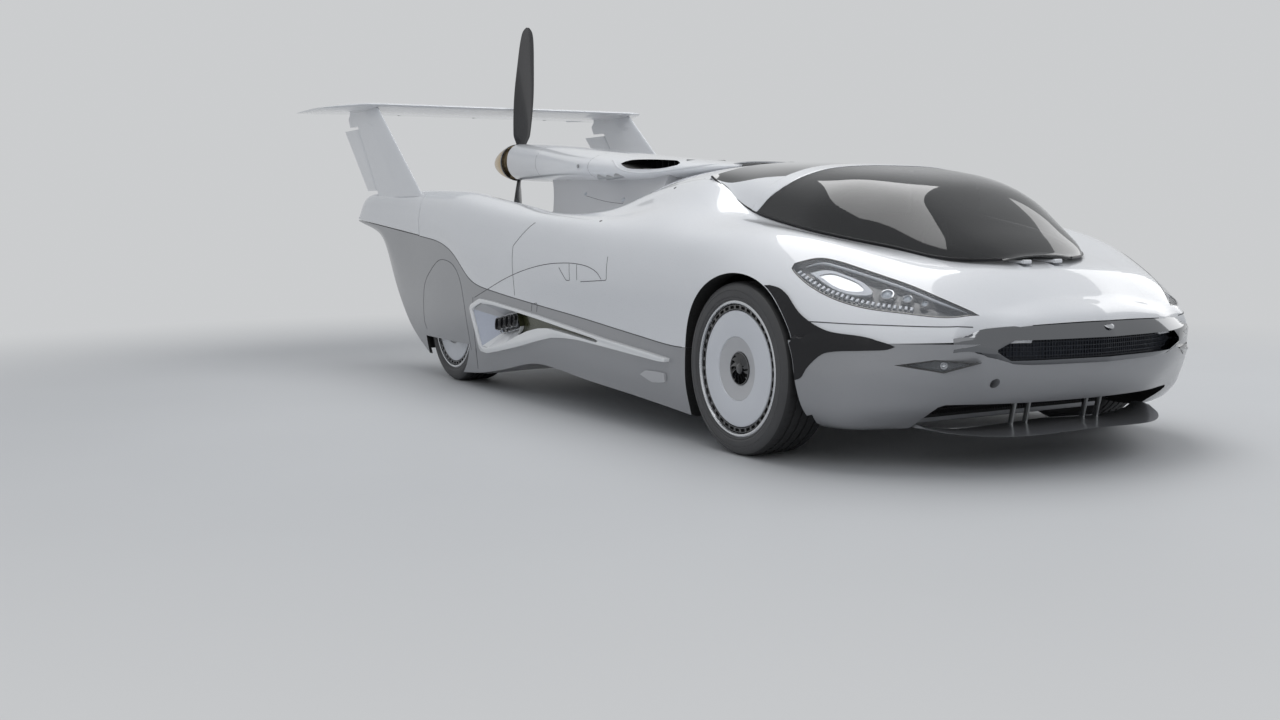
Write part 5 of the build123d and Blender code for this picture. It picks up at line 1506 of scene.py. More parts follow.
def build_pod():
    xs = np.concatenate([np.arange(-1.880, 0.800, 0.02), [0.800]])
    top, w, h = columns(POD, xs, 0.09)
    w = np.maximum(w, 0.004)
    rings = []
    for k, x in enumerate(xs):
        shrink = 1.0
        if x < -1.86:
            shrink = 0.985
        rings.append(pod_ring(x, top[k], w[k] * shrink, h[k] * shrink))
    pod = loops("engine_pod", rings, WHITE)
    cutters = []
    for side in (1, -1):
        lens = flowing(INTAKE_LENS + INTAKE_LENS[:1], 48)[:-1]
        rings = []
        for y, grow in ((0.055, 0.88), (0.40, 1.0)):
            cx, cz = 0.12, 1.190
            rings.append([(cx + (x - cx) * grow, side * y, cz + (z - cz) * grow) for x, z in lens])
        cutters.append(loops("lens", rings, LINER))
    carve(pod, cutters, 32)
    discard(*cutters)
    placed(pod, "body", ["engine_pod"])
    tree = tree_of(pod)
    bits, lips = [], []
    for side in (1, -1):
        vanes = []
        for k in range(8):
            x = -0.095 + k * 0.060
            low, high = sorted((side * 0.058, side * 0.118))
            vanes.append(block("vane", (x, low, 1.168), (x + 0.004, high, 1.206), BLACK_SATIN))
        bits += vanes
        places, _ = traced(tree, [(x, side * y, z) for x, y, z in INTAKE_LIP], 0.012)
        count = len(places)
        lips.append(tube("lip", places, [0.0012 + 0.0060 * math.sin(math.pi * k / (count - 1)) ** 0.6 for k in range(count)],
                         WHITE, 16))
        for x0, y0, z0, r in ((-0.370, 0.214, 1.139, 0.015), (-0.265, 0.216, 1.133, 0.015), (-0.145, 0.232, 1.138, 0.015)):
            a = Vector((x0 + 0.03, side * (y0 - 0.02), z0 + 0.004))
            b = Vector((x0 - 0.045, side * (y0 + 0.018), z0 - 0.004))
            pipe = tube("stub", [a, a.lerp(b, 0.5), b], [r, r * 0.98, r * 0.94], STEEL, 28)
            bore = tube("bore", [a.lerp(b, 0.55), b + (b - a) * 0.2], [r * 0.78, r * 0.8], LINER, 28)
            carve(pipe, [bore])
            discard(bore)
            bits.append(pipe)
        cap = turned("cap", [(0.0, 0.0), (0.010, 0.0), (0.012, 0.004), (0.009, 0.007), (0.0, 0.008)], (0, 0, 0), STEEL, 28,
                     "X")
        place, normal = tree.ray_cast(Vector((-0.62, side * 2, 1.200)), Vector((0, -side, 0)))[:2]
        cap.data.transform(Matrix.Translation(place) @ Vector((1, 0, 0)).rotation_difference(normal).to_matrix().to_4x4())
        bits.append(cap)
    small = joined("engine_fittings", bits)
    placed(small, "body", [])
    lip = joined("intake_lips", lips)
    placed(lip, "body", ["engine_pod"])
    ring = turned("pod_end_ring", [(0.070, 0.002), (0.112, 0.002), (0.1165, -0.004), (0.1165, -0.012), (0.108, -0.015),
                                   (0.070, -0.015)], (-1.868, 0, PROP_Z), BLACK, 96, "X")
    placed(ring, "body", [])
    lines = []
    for side in (1, -1):
        for x, low, high in ((-0.50, 1.135, 1.283), (-1.35, 1.14, 1.34)):
            pts = [(x, side * 0.6, z) for z in np.linspace(low, high, 12)]
            places, normals = [], []
            for p in pts:
                place, normal = tree.ray_cast(Vector(p), Vector((0, -side, 0)))[:2]
                if place is not None:
                    places.append(place)
                    normals.append(normal)
            lines.append(ribbon("line", places, normals, PANEL_LINE * 0.6))
    made = joined("pod_lines", lines)
    placed(made, "body", [])


def build_spine():
    xs = np.concatenate([np.arange(-1.290, 0.290, 0.02), [0.290]])
    fy, fz, ty, tz = columns(SPINE, xs, 0.06)
    rings = []
    for k, x in enumerate(xs):
        half = flowing([(fy[k], fz[k] - 0.040), (fy[k] * 0.55 + ty[k] * 0.45, (fz[k] + tz[k]) / 2 - 0.02), (ty[k], tz[k])], 14)
        rings.append([(x, y, z) for y, z in half] + [(x, -y, z) for y, z in half[::-1]])
    # Painted shade: the spine takes light grey for the shade that lies on its side wall under the engine pod.
    spine = loops("spine", rings, GREY_SOFT)
    cut = []
    for a in np.linspace(0, 2 * math.pi, 64, endpoint=False):
        cut.append((-1.330 + 0.085 * math.cos(a), 0.985 + 0.170 * math.sin(a)))
    air = loops("foot_air", [[(x, y, z) for x, z in cut] for y in (-0.4, 0.4)], GREY_SOFT)
    carve(spine, [air])
    discard(air)
    placed(spine, "body", ["spine_fairing"])
    tree = tree_of(spine)
    bits, lines = [], []
    for side in (1, -1):
        for x, z, w, h, material in ((-0.712, 1.046, 0.020, 0.010, LAMP_WHITE), (-0.164, 1.005, 0.022, 0.012, LAMP_WHITE)):
            place, normal = tree.ray_cast(Vector((x, side * 2, z)), Vector((0, -side, 0)))[:2]
            lamp = turned("lamp", [(0.0, -0.002), (0.9, -0.002), (1.0, 0.0), (0.8, 0.004), (0.0, 0.006)], (0, 0, 0), material,
                          32, "X", 50)
            lamp.data.transform(Matrix.Diagonal((1, w, h, 1)))
            lamp.data.transform(Matrix.Translation(place) @ Vector((1, 0, 0)).rotation_difference(normal).to_matrix().to_4x4())
            bits.append(lamp)
        for pts in ([(-0.70, 1.035), (-0.40, 1.000), (-0.16, 0.985)], [(-0.16, 1.02), (-0.16, 0.985)]):
            line = flowing([(x, 0, z) for x, z in pts], 24)
            places, normals = [], []
            for x, _, z in line:
                place, normal = tree.ray_cast(Vector((x, side * 2, z)), Vector((0, -side, 0)))[:2]
                if place is not None:
                    places.append(place)
                    normals.append(normal)
            lines.append(ribbon("line", places, normals, PANEL_LINE * 0.6))
    lamps = joined("spine_lights", bits)
    placed(lamps, "body", [])
    made = joined("spine_lines", lines)
    placed(made, "body", [])


SCOOP_REAR_X, SCOOP_FRONT_X = 0.400, 1.108


def build_roof(deck_tree):
    """White panel behind the canopy with a fine seam, and the slim raised duct on it."""
    half = flowing([(1.284, 0.0), (1.284, 0.20), (1.270, 0.296), (1.10, 0.305), (0.820, 0.285), (0.520, 0.190),
                    (0.425, 0.110), (0.400, 0.0)], 60, 0.5)
    outline = [(x, y) for x, y in half] + [(x, -y) for x, y in half[-2:0:-1]]
    pts = [(x, y, 1.0) for x, y in outline]
    panel = patch_on("roof_panel", deck_tree, pts, (0, 0, -1), 0.05, 0.0012, 0.012, WHITE)
    placed(panel, "body", ["roof_panel"])
    places, normals = [], []
    for x, y in outline + outline[:1]:
        place, normal = on_top(deck_tree, x, y)
        places.append(place)
        normals.append(normal)
    seam = ribbon("roof_seam", places, normals, PANEL_LINE, out=0.0013)
    placed(seam, "body", [])
    xs = np.linspace(SCOOP_REAR_X, SCOOP_FRONT_X, 54)
    rings = []
    for x in xs:
        place, _ = on_top(deck_tree, x, 0.0)
        t = (x - SCOOP_REAR_X) / (SCOOP_FRONT_X - SCOOP_REAR_X)
        width = 0.106 * min(1.0, 0.35 + 3.2 * (1 - t)) * (1 - 0.12 * t)
        rise = 0.040 * (1 - t ** 3) + 0.004
        top = min(place.z + rise, 1.2215)
        ring = []
        for a in np.linspace(0, math.pi, 20):
            ring.append((x, width * math.cos(a), place.z - 0.006 + (top - place.z + 0.006) * math.sin(a) ** 0.35))
        rings.append(ring)
    duct = loops("roof_duct", rings, BLACK)
    mouth = []
    for x in (0.30, 0.60):
        place, _ = on_top(deck_tree, max(x, 0.41), 0.0)
        mouth.append([(x, 0.084 * math.cos(a), place.z + 0.004 + 0.026 * math.sin(a) ** 0.4)
                      for a in np.linspace(0, math.pi, 16)])
    hole = loops("mouth", mouth, LINER)
    carve(duct, [hole])
    discard(hole)
    placed(duct, "body", ["roof_scoop"])
    trims = []
    for side in (1, -1):
        path = []
        for x in np.linspace(SCOOP_REAR_X + 0.007, SCOOP_FRONT_X - 0.025, 44):
            place, _ = on_top(deck_tree, x, 0.0)
            t = (x - SCOOP_REAR_X) / (SCOOP_FRONT_X - SCOOP_REAR_X)
            width = 0.106 * min(1.0, 0.35 + 3.2 * (1 - t)) * (1 - 0.12 * t)
            rise = 0.040 * (1 - t ** 3) + 0.004
            path.append((x, side * width * 0.90, place.z + rise * 0.80))
        trims.append(tube("rim", path, 0.0035, CHROME, 10))
    rim = joined("roof_duct_rims", trims)
    placed(rim, "body", ["roof_scoop"])


# Propeller

BLADE = [
    # radius, chord, pitch in degrees, thickness to chord
    (0.060, 0.058, 62, 0.60),
    (0.110, 0.070, 56, 0.36),
    (0.180, 0.118, 48, 0.15),
    (0.400, 0.128, 32, 0.11),
    (0.650, 0.106, 23, 0.10),
    (0.800, 0.082, 19, 0.10),
    (0.850, 0.058, 17, 0.10),
    (0.8735, 0.020, 16, 0.10),
]


def foil_section(chord, thickness, count=36, camber=0.02):
    """Aerofoil outline, leading edge at +chord/2."""
    pts = []
    for a in np.linspace(0, 2 * math.pi, count, endpoint=False):
        u = (1 + math.cos(a)) / 2
        t = 5 * thickness * (0.2969 * math.sqrt(u) - 0.126 * u - 0.3516 * u ** 2 + 0.2843 * u ** 3 - 0.1036 * u ** 4)
        t = max(t, 0.0012 / max(chord, 0.01) * 0.5)
        bend = camber * 4 * u * (1 - u)
        pts.append(((0.5 - u) * chord, (bend + (t if a < math.pi else -t)) * chord))
    return pts


def build_propeller():
    rs = np.linspace(BLADE[0][0], BLADE[-1][0], 54)
    chord, pitch, thick = (monotone([b[0] for b in BLADE], [b[k] for b in BLADE], rs) for k in (1, 2, 3))
    blades = []
    for turn in (PROP_LEAN, PROP_LEAN + math.pi):
        rings = []
        for r, c, p, t in zip(rs, chord, pitch, thick):
            a = math.radians(p)
            ring = []
            for u, v in foil_section(c, t):
                x = u * math.sin(a) + v * math.cos(a)
                y = u * math.cos(a) - v * math.sin(a)
                ring.append((PROP_X + x, y * math.cos(turn) + r * math.sin(turn),
                             PROP_Z - y * math.sin(turn) + r * math.cos(turn)))
            rings.append(ring)
        blades.append(loops("blade", rings, CARBON, angle=50))
        collar = [(0.0, 0.066), (0.026, 0.066), (0.030, 0.078), (0.030, 0.100), (0.026, 0.108), (0.0, 0.108)]
        cuff = turned("cuff", collar, (0, 0, 0), STEEL, 32, "X")
        cuff.data.transform(Matrix.Rotation(math.radians(-90), 4, "Y"))
        cuff.data.transform(Matrix.Translation((PROP_X, 0, PROP_Z)) @ Matrix.Rotation(-turn, 4, "X"))
        blades.append(cuff)
    hub = turned("hub", [(0.031, 0.038), (0.078, 0.038), (0.084, 0.030), (0.084, -0.030), (0.078, -0.038),
                         (0.031, -0.038)], (PROP_X, 0, PROP_Z), STEEL, 72, "X")
    blades.append(hub)
    for k in range(8):
        a = 2 * math.pi * (k + 0.5) / 8
        at = Vector((PROP_X + 0.038, 0.056 * math.cos(a), PROP_Z + 0.056 * math.sin(a)))
        bolt = turned("bolt", [(0.0, 0.0), (0.007, 0.0), (0.007, 0.005), (0.005, 0.006), (0.0, 0.006)], at, STEEL, 6, "X")
        blades.append(bolt)
    whole = joined("propeller_blades", blades)
    placed(whole, "propeller", ["propeller"])
    x0 = PROP_X - 0.038
    length, r = 0.297, 0.118
    profile = [(0.0, -length), (0.010, -length * 0.998), (0.022, -length * 0.985), (0.031, -length * 0.955),
               (0.034, -length * 0.935), (0.044, -length * 0.90), (0.060, -length * 0.80), (0.078, -length * 0.64),
               (0.094, -length * 0.46), (0.106, -length * 0.28), (0.1135, -length * 0.12), (0.1135, -length * 0.115),
               (0.1155, -length * 0.11), (0.1168, -length * 0.05), (r, -0.006), (0.112, -0.001), (0.0, -0.001)]
    cone = turned("spinner_cone", profile, (x0, 0, PROP_Z), BRONZE, 96, "X", 25)
    placed(cone, "propeller", ["spinner"])
    band = turned("spinner_band", [(0.110, -0.018), (0.1185, -0.016), (0.1187, -0.002), (0.110, -0.001)],
                  (x0, 0, PROP_Z), BLACK, 96, "X")
    placed(band, "propeller", ["spinner"])


# Tail

RUDDER_LOW = (-2.092, 1.085)
RUDDER_HIGH = (-2.420, 1.488)
RUDDER_TAIL_LOW = (-2.292, 1.085)
RUDDER_TAIL_HIGH = (-2.728, 1.484)


def build_tail():
    """Fins, stabiliser and the moving surfaces, shaped as aerofoils around their hinge lines."""
    def hinge_x(z):
        t = (z - RUDDER_LOW[1]) / (RUDDER_HIGH[1] - RUDDER_LOW[1])
        return RUDDER_LOW[0] + (RUDDER_HIGH[0] - RUDDER_LOW[0]) * t

    def lead_x(z):
        return -1.335 + (z - 1.040) / (1.594 - 1.040) * (-2.062 + 1.335)

    def outline(z, rear):
        """Fin section from the leading edge to rear, thickest a third of the way back."""
        lead = lead_x(z)
        whole = lead - (hinge_x(z) - 0.20)
        half = 0.0245
        pts = []
        for u in 1 - np.cos(np.linspace(0, math.pi / 2, 22)):
            x = lead - u * (lead - rear)
            share = (lead - x) / whole
            t = half * min(1.0, 1.9 * math.sqrt(max(share, 0)) * (1 - 0.25 * share)) * (1 - 0.28 * max(0, share - 0.4) / 0.6)
            pts.append((x, max(t, 0.0006)))
        return [(x, FIN_Y + t) for x, t in pts] + [(x, FIN_Y - t) for x, t in pts[::-1]]

    rings = []
    for z in np.linspace(1.040, 1.505, 26):
        gap = 0.024
        rings.append([(x, y, z) for x, y in outline(z, hinge_x(z) + gap)])
    for z in (1.5061, 1.530, 1.560, 1.585, 1.6055):
        rear = float(np.interp(z, [1.506, 1.560, 1.594, 1.61], [-2.570, -2.600, -2.560, -2.555]))
        rings.append([(x, y, z) for x, y in outline(z, rear)])
    fin = loops("fin_left", rings, WHITE, angle=40)
    twin = mirrored(fin, "fin_right")
    for obj in (fin, twin):
        placed(obj, "tail", ["fins"])
    rings = []
    for z in np.linspace(RUDDER_LOW[1] + 0.001, RUDDER_HIGH[1] - 0.001, 22):
        t = (z - RUDDER_LOW[1]) / (RUDDER_HIGH[1] - RUDDER_LOW[1])
        x0 = hinge_x(z)
        x1 = RUDDER_TAIL_LOW[0] + (RUDDER_TAIL_HIGH[0] - RUDDER_TAIL_LOW[0]) * t
        ring = []
        for a in np.linspace(-90, 90, 13):
            ring.append((x0 + 0.0165 * math.cos(math.radians(a)), FIN_Y - 0.0165 * math.sin(math.radians(a)), z))
        for u in (0.25, 0.5, 0.75, 0.93, 1.0):
            ring.append((x0 + (x1 - x0) * u, FIN_Y - 0.0165 * (1 - u) - 0.0018, z))
        for u in (1.0, 0.93, 0.75, 0.5, 0.25):
            ring.append((x0 + (x1 - x0) * u, FIN_Y + 0.0165 * (1 - u) + 0.0018, z))
        rings.append(ring)
    rudder = loops("rudder_skin_left", rings, WHITE, angle=40)
    pins = []
    low, high = Vector((RUDDER_LOW[0], FIN_Y, RUDDER_LOW[1])), Vector((RUDDER_HIGH[0], FIN_Y, RUDDER_HIGH[1]))
    along = (high - low).normalized()
    pins.append(rod("pin", low - along * 0.020, low + along * 0.01, 0.0058, STEEL, 24))
    pins.append(rod("pin", high - along * 0.01, high + along * 0.020, 0.0058, STEEL, 24))
    pin = joined("rudder_pins_left", pins)
    for obj, name in ((rudder, "rudder_skin_right"), (pin, "rudder_pins_right")):
        placed(obj, "rudder_left", ["rudder_left"])
        placed(mirrored(obj, name), "rudder_right", ["rudder_right"])
    lead, trail, whole_tail = -2.025, -2.625, -2.955
    inner = 0.864

    def plate(y_pts, rear):
        rings = []
        for y in y_pts:
            ring = []
            for u in 1 - np.cos(np.linspace(0, math.pi / 2, 24)):
                x = lead - u * (lead - rear)
                share = (lead - x) / (lead - whole_tail)
                t = 0.0278 * min(1.0, 2.2 * math.sqrt(max(share, 0)) * (1 - 0.2 * share))
                t *= 1 - 0.72 * max(0.0, (share - 0.35) / 0.65) ** 1.2
                ring.append((x, max(t, 0.0008)))
            rings.append([(x, y, STAB_Z + t) for x, t in ring] + [(x, y, STAB_Z - t) for x, t in ring[::-1]])
        return rings
    middle = loops("stabiliser_middle", plate(np.linspace(-inner, inner, 45), trail), WHITE, angle=40)
    tips = []
    rows = [(inner + 0.0005, lead, -2.955, 1.0), (inner + 0.06, lead - 0.008, -2.960, 0.97),
            (inner + 0.111, lead - 0.028, -2.972, 0.90), (inner + 0.16, lead - 0.110, -2.986, 0.78),
            (inner + 0.22, lead - 0.245, -3.000, 0.60), (inner + 0.27, lead - 0.365, -3.010, 0.42),
            (inner + 0.2915, lead - 0.440, -3.012, 0.20)]
    ys = np.linspace(rows[0][0], rows[-1][0], 26)
    l_x, t_x, s_c = (monotone([r[0] for r in rows], [r[k] for r in rows], ys) for k in (1, 2, 3))
    rings = []
    for y, a, b, c in zip(ys, l_x, t_x, s_c):
        ring = []
        for u in 1 - np.cos(np.linspace(0, math.pi / 2, 24)):
            x = a - u * (a - b)
            t = 0.0278 * c * min(1.0, 2.2 * math.sqrt(max(u, 0)) * (1 - 0.2 * u)) * (1 - 0.80 * max(0.0, (u - 0.35) / 0.65) ** 1.2)
            ring.append((x, max(t, 0.0008)))
        rings.append([(x, y, STAB_Z + t) for x, t in ring] + [(x, y, STAB_Z - t) for x, t in ring[::-1]])
    tip = loops("stabiliser_tip_left", rings, WHITE, angle=40)
    tip_twin = mirrored(tip, "stabiliser_tip_right")
    for obj in (middle, tip, tip_twin):
        placed(obj, "tail", ["stabiliser"])
    ex, et, span = -2.645, -2.955, 0.8555
    rings = []
    for y in np.linspace(-span, span, 41):
        ring = []
        for a in np.linspace(-90, 90, 13):
            ring.append((ex + 0.0118 * math.cos(math.radians(a)), y, STAB_Z - 0.0118 * math.sin(math.radians(a))))
        for u in (0.3, 0.6, 0.9, 1.0):
            ring.append((ex + (et - ex) * u, y, STAB_Z - 0.0118 * (1 - u) - 0.0016))
        for u in (1.0, 0.9, 0.6, 0.3):
            ring.append((ex + (et - ex) * u, y, STAB_Z + 0.0118 * (1 - u) + 0.0016))
        rings.append(ring)
    elevator = loops("elevator_skin", rings, WHITE, angle=40)
    placed(elevator, "elevator", ["elevator"])
    pins = []
    for side in (1, -1):
        pins.append(rod("pin", (ex, side * (span - 0.006), STAB_Z), (ex, side * (span + 0.022), STAB_Z), 0.0058, STEEL, 24))
    for y in (-0.55, 0.0, 0.55):
        pins.append(block("horn", (ex - 0.05, y - 0.004, STAB_Z - 0.020), (ex - 0.005, y + 0.004, STAB_Z - 0.008), STEEL, 0.0015))
    fittings = joined("elevator_pins", pins)
    placed(fittings, "elevator", ["elevator"])


# Side trim with its four pipes

TRIM_OUTER = [(-0.332, 0.490), (-0.345, 0.489), (-0.468, 0.447), (-0.474, 0.432), (-0.350, 0.222), (-0.330, 0.211),
              (-0.246, 0.206), (0.114, 0.267), (0.356, 0.316), (0.509, 0.342), (0.646, 0.351), (0.787, 0.352),
              (1.120, 0.336), (1.513, 0.317), (1.560, 0.319), (1.569, 0.326), (1.561, 0.334), (1.000, 0.379),
              (0.337, 0.442), (-0.172, 0.482)]
TRIM_WINDOW = [(-0.318, 0.466), (-0.352, 0.458), (-0.436, 0.428), (-0.325, 0.240), (-0.250, 0.236), (-0.041, 0.272),
               (0.110, 0.320), (0.240, 0.356), (0.360, 0.378), (0.460, 0.386), (0.600, 0.380), (0.800, 0.366),
               (0.978, 0.3555), (0.980, 0.3660), (0.700, 0.3925), (0.337, 0.426), (0.000, 0.453), (-0.180, 0.464)]
PIPE_BLOCK = [(-0.166, 0.392), (-0.140, 0.318), (0.125, 0.368), (0.104, 0.440), (-0.030, 0.424)]
TRIM_FACE_Y = 0.998
TRIM_WINDING = -1


def trim_air(side):
    """The recess that the trim fills, to be cut from the hull and the pods."""
    outline = flowing(TRIM_OUTER + TRIM_OUTER[:1], 160, 0.75)[:-1]
    return loops("trim_air", [[(x, side * y, z) for x, z in outline] for y in (0.9425, 1.10)], BLACK)


def build_trim():
    outer = flowing(TRIM_OUTER + TRIM_OUTER[:1], 160, 0.75)[:-1]
    window = flowing(TRIM_WINDOW + TRIM_WINDOW[:1], 140, 0.8)[:-1]
    cx = sum(p[0] for p in outer) / len(outer)
    rings = []
    for y, inset in ((0.943, 0.0), (TRIM_FACE_Y - 0.004, 0.0), (TRIM_FACE_Y - 0.001, 0.0012), (TRIM_FACE_Y, 0.0034)):
        ring = []
        for k, (x, z) in enumerate(outer):
            ax, az = outer[k - 1]
            bx, bz = outer[(k + 1) % len(outer)]
            dx, dz = bx - ax, bz - az
            n = math.hypot(dx, dz)
            ring.append((x + dz / n * inset * TRIM_WINDING, y, z - dx / n * inset * TRIM_WINDING))
        rings.append(ring)
    body = loops("trim", rings, TRIM_WHITE, angle=30)
    cut = loops("window", [[(x, y, z) for x, z in window] for y in (0.90, 1.10)], TRIM_WHITE)
    carve(body, [cut], 30)
    discard(cut)
    body.name = "side_trim_left"
    softened(body, 0.0014, 2, 50)
    placed(body, "body", ["side_trims"])
    floor_y, face = 0.944, TRIM_FACE_Y - 0.010
    ring_out = [Vector((x, face, z)) for x, z in ((-0.436, 0.428), (-0.318, 0.466), (0.000, 0.453), (0.110, 0.444),
                                                   (0.150, 0.374), (0.110, 0.322), (-0.041, 0.272), (-0.250, 0.236),
                                                   (-0.325, 0.240))]
    pipe_in = [Vector((x, floor_y + 0.004, z)) for x, z in ((-0.172, 0.398), (-0.120, 0.412), (0.020, 0.432),
                                                             (0.108, 0.440), (0.128, 0.376), (0.128, 0.366),
                                                             (-0.010, 0.338), (-0.136, 0.314), (-0.148, 0.322))]
    n = len(ring_out)
    # One colour per facet round the pipe bowl: the three upper facets take light grey and the left end facet cool grey
    # as painted shade on the white trim; the lower facets keep the trim white, and the olive facet meets the olive
    # slot.
    facet_paint_and_painted_shade = [GREY_SOFT, GREY_SOFT, GREY_SOFT, OLIVE, TRIM_WHITE, TRIM_WHITE, TRIM_WHITE, TRIM_WHITE, TRIM_PAINTED_COOL_SHADE]
    facets = []
    for k in range(n):
        a, b = ring_out[k], ring_out[(k + 1) % n]
        c, d = pipe_in[(k + 1) % n], pipe_in[k]
        back = Vector((0, -0.004, 0))
        verts = [a, b, c, d, a + back, b + back, c + back, d + back]
        faces = [(0, 1, 2, 3), (7, 6, 5, 4), (0, 4, 5, 1), (1, 5, 6, 2), (2, 6, 7, 3), (3, 7, 4, 0)]
        facets.append(new_object("facet", verts, faces, facet_paint_and_painted_shade[k]))
    inner = joined("trim_bowl_left", facets)
    placed(inner, "body", ["side_trims"])
    slot = [(0.104, 0.445), (0.337, 0.424), (0.700, 0.392), (0.982, 0.366), (0.982, 0.354), (0.800, 0.362), (0.600, 0.376),
            (0.460, 0.382), (0.360, 0.374), (0.240, 0.352), (0.126, 0.320)]
    slot_line = flowing(slot + slot[:1], 100, 0.8)[:-1]
    olive = loops("trim_slot_left", [[(x, y, z) for x, z in slot_line] for y in (0.9435, 0.960)], OLIVE)
    placed(olive, "body", ["side_trims"])
    pipes = []
    for i in range(4):
        x, z = -0.134 + i * 0.061 + 0.004, 0.367 + i * 0.010 + 0.001
        ring = []
        for a in np.linspace(0, 2 * math.pi, 36, endpoint=False):
            ring.append((0.0255 * math.copysign(abs(math.cos(a)) ** 0.75, math.cos(a)),
                         0.034 * math.copysign(abs(math.sin(a)) ** 0.75, math.sin(a))))
        lean = 0.16
        def at(scale, y):
            return [(x + (u + lean * v) * scale, y, z + v * scale) for u, v in ring]
        pipes.append(loops("pipe", [at(1.0, 0.946), at(1.0, 0.986), at(0.93, 0.990), at(0.82, 0.988), at(0.80, 0.952)], BLACK))
        pipes.append(loops("lip", [at(1.03, 0.962), at(1.06, 0.964), at(1.06, 0.970), at(1.03, 0.972)], CHROME))
    stack = joined("side_pipe_set_left", pipes)
    outline = flowing(PIPE_BLOCK + PIPE_BLOCK[:1], 60, 0.85)[:-1]
    wire = tube("pipe_frame_left", [(x, 0.962, z) for x, z in outline], 0.0035, CHROME, 10, closed=True)
    for obj, name in ((stack, "side_pipe_set_right"), (wire, "pipe_frame_right")):
        placed(obj, "body", ["side_pipes"])
        placed(mirrored(obj, name), "body", ["side_pipes"])
    placed(mirrored(body, "side_trim_right"), "body", ["side_trims"])
    placed(mirrored(inner, "trim_bowl_right"), "body", ["side_trims"])
    placed(mirrored(olive, "trim_slot_right"), "body", ["side_trims"])


# Wheels, made round the origin with the outer face at y 0

def tyre_form():
    steps = 180
    half = [(0.2615, -0.012), (0.2640, -0.006), (0.2690, -0.003), (0.2735, -0.0042), (0.2790, -0.0005), (0.2880, 0.0),
            (0.2990, -0.0008), (0.3010, -0.0022), (0.3030, -0.0008), (0.3130, -0.0030), (0.3220, -0.0080), (0.3290, -0.0155),
            (0.3330, -0.0260)]
    tread = []
    w = -0.036
    for groove in (-0.058, -0.096, -0.133, -0.171):
        while w > groove + 0.006:
            tread.append((0.335, w, 1))
            w -= 0.009
        tread += [(0.335, groove + 0.005, 1), (0.3285, groove + 0.004, 0), (0.3285, groove - 0.004, 0), (0.335, groove - 0.005, 1)]
        w = groove - 0.012
    while w > -0.189:
        tread.append((0.335, w, 1))
        w -= 0.009
    profile = [(r, y, 0) for r, y in half] + tread + [(r, -TYRE_WIDTH - y, 0) for r, y in half[::-1]]
    verts, faces = [], []
    n = len(profile)
    for s in range(steps):
        a = 2 * math.pi * s / steps
        cut = s % 6 == 0
        for k, (r, y, blocky) in enumerate(profile):
            edge = y > -0.058 or y < -0.171
            depth = 0.0045 if blocky and cut and edge else (0.003 if blocky and s % 6 == 3 else 0.0)
            verts.append(((r - depth) * math.cos(a), y, (r - depth) * math.sin(a)))
    for s in range(steps):
        t = (s + 1) % steps
        for k in range(n):
            q = (k + 1) % n
            faces.append((s * n + k, s * n + q, t * n + q, t * n + k))
    tyre = new_object("tyre_form", verts, faces, TYRE, 28)
    tyre.data.materials.append(SIDEWALL)
    for face in tyre.data.polygons:
        c = face.center
        if math.hypot(c.x, c.z) < 0.328 and (c.y > -0.02 or c.y < -TYRE_WIDTH + 0.02):
            face.material_index = 1
    return tyre


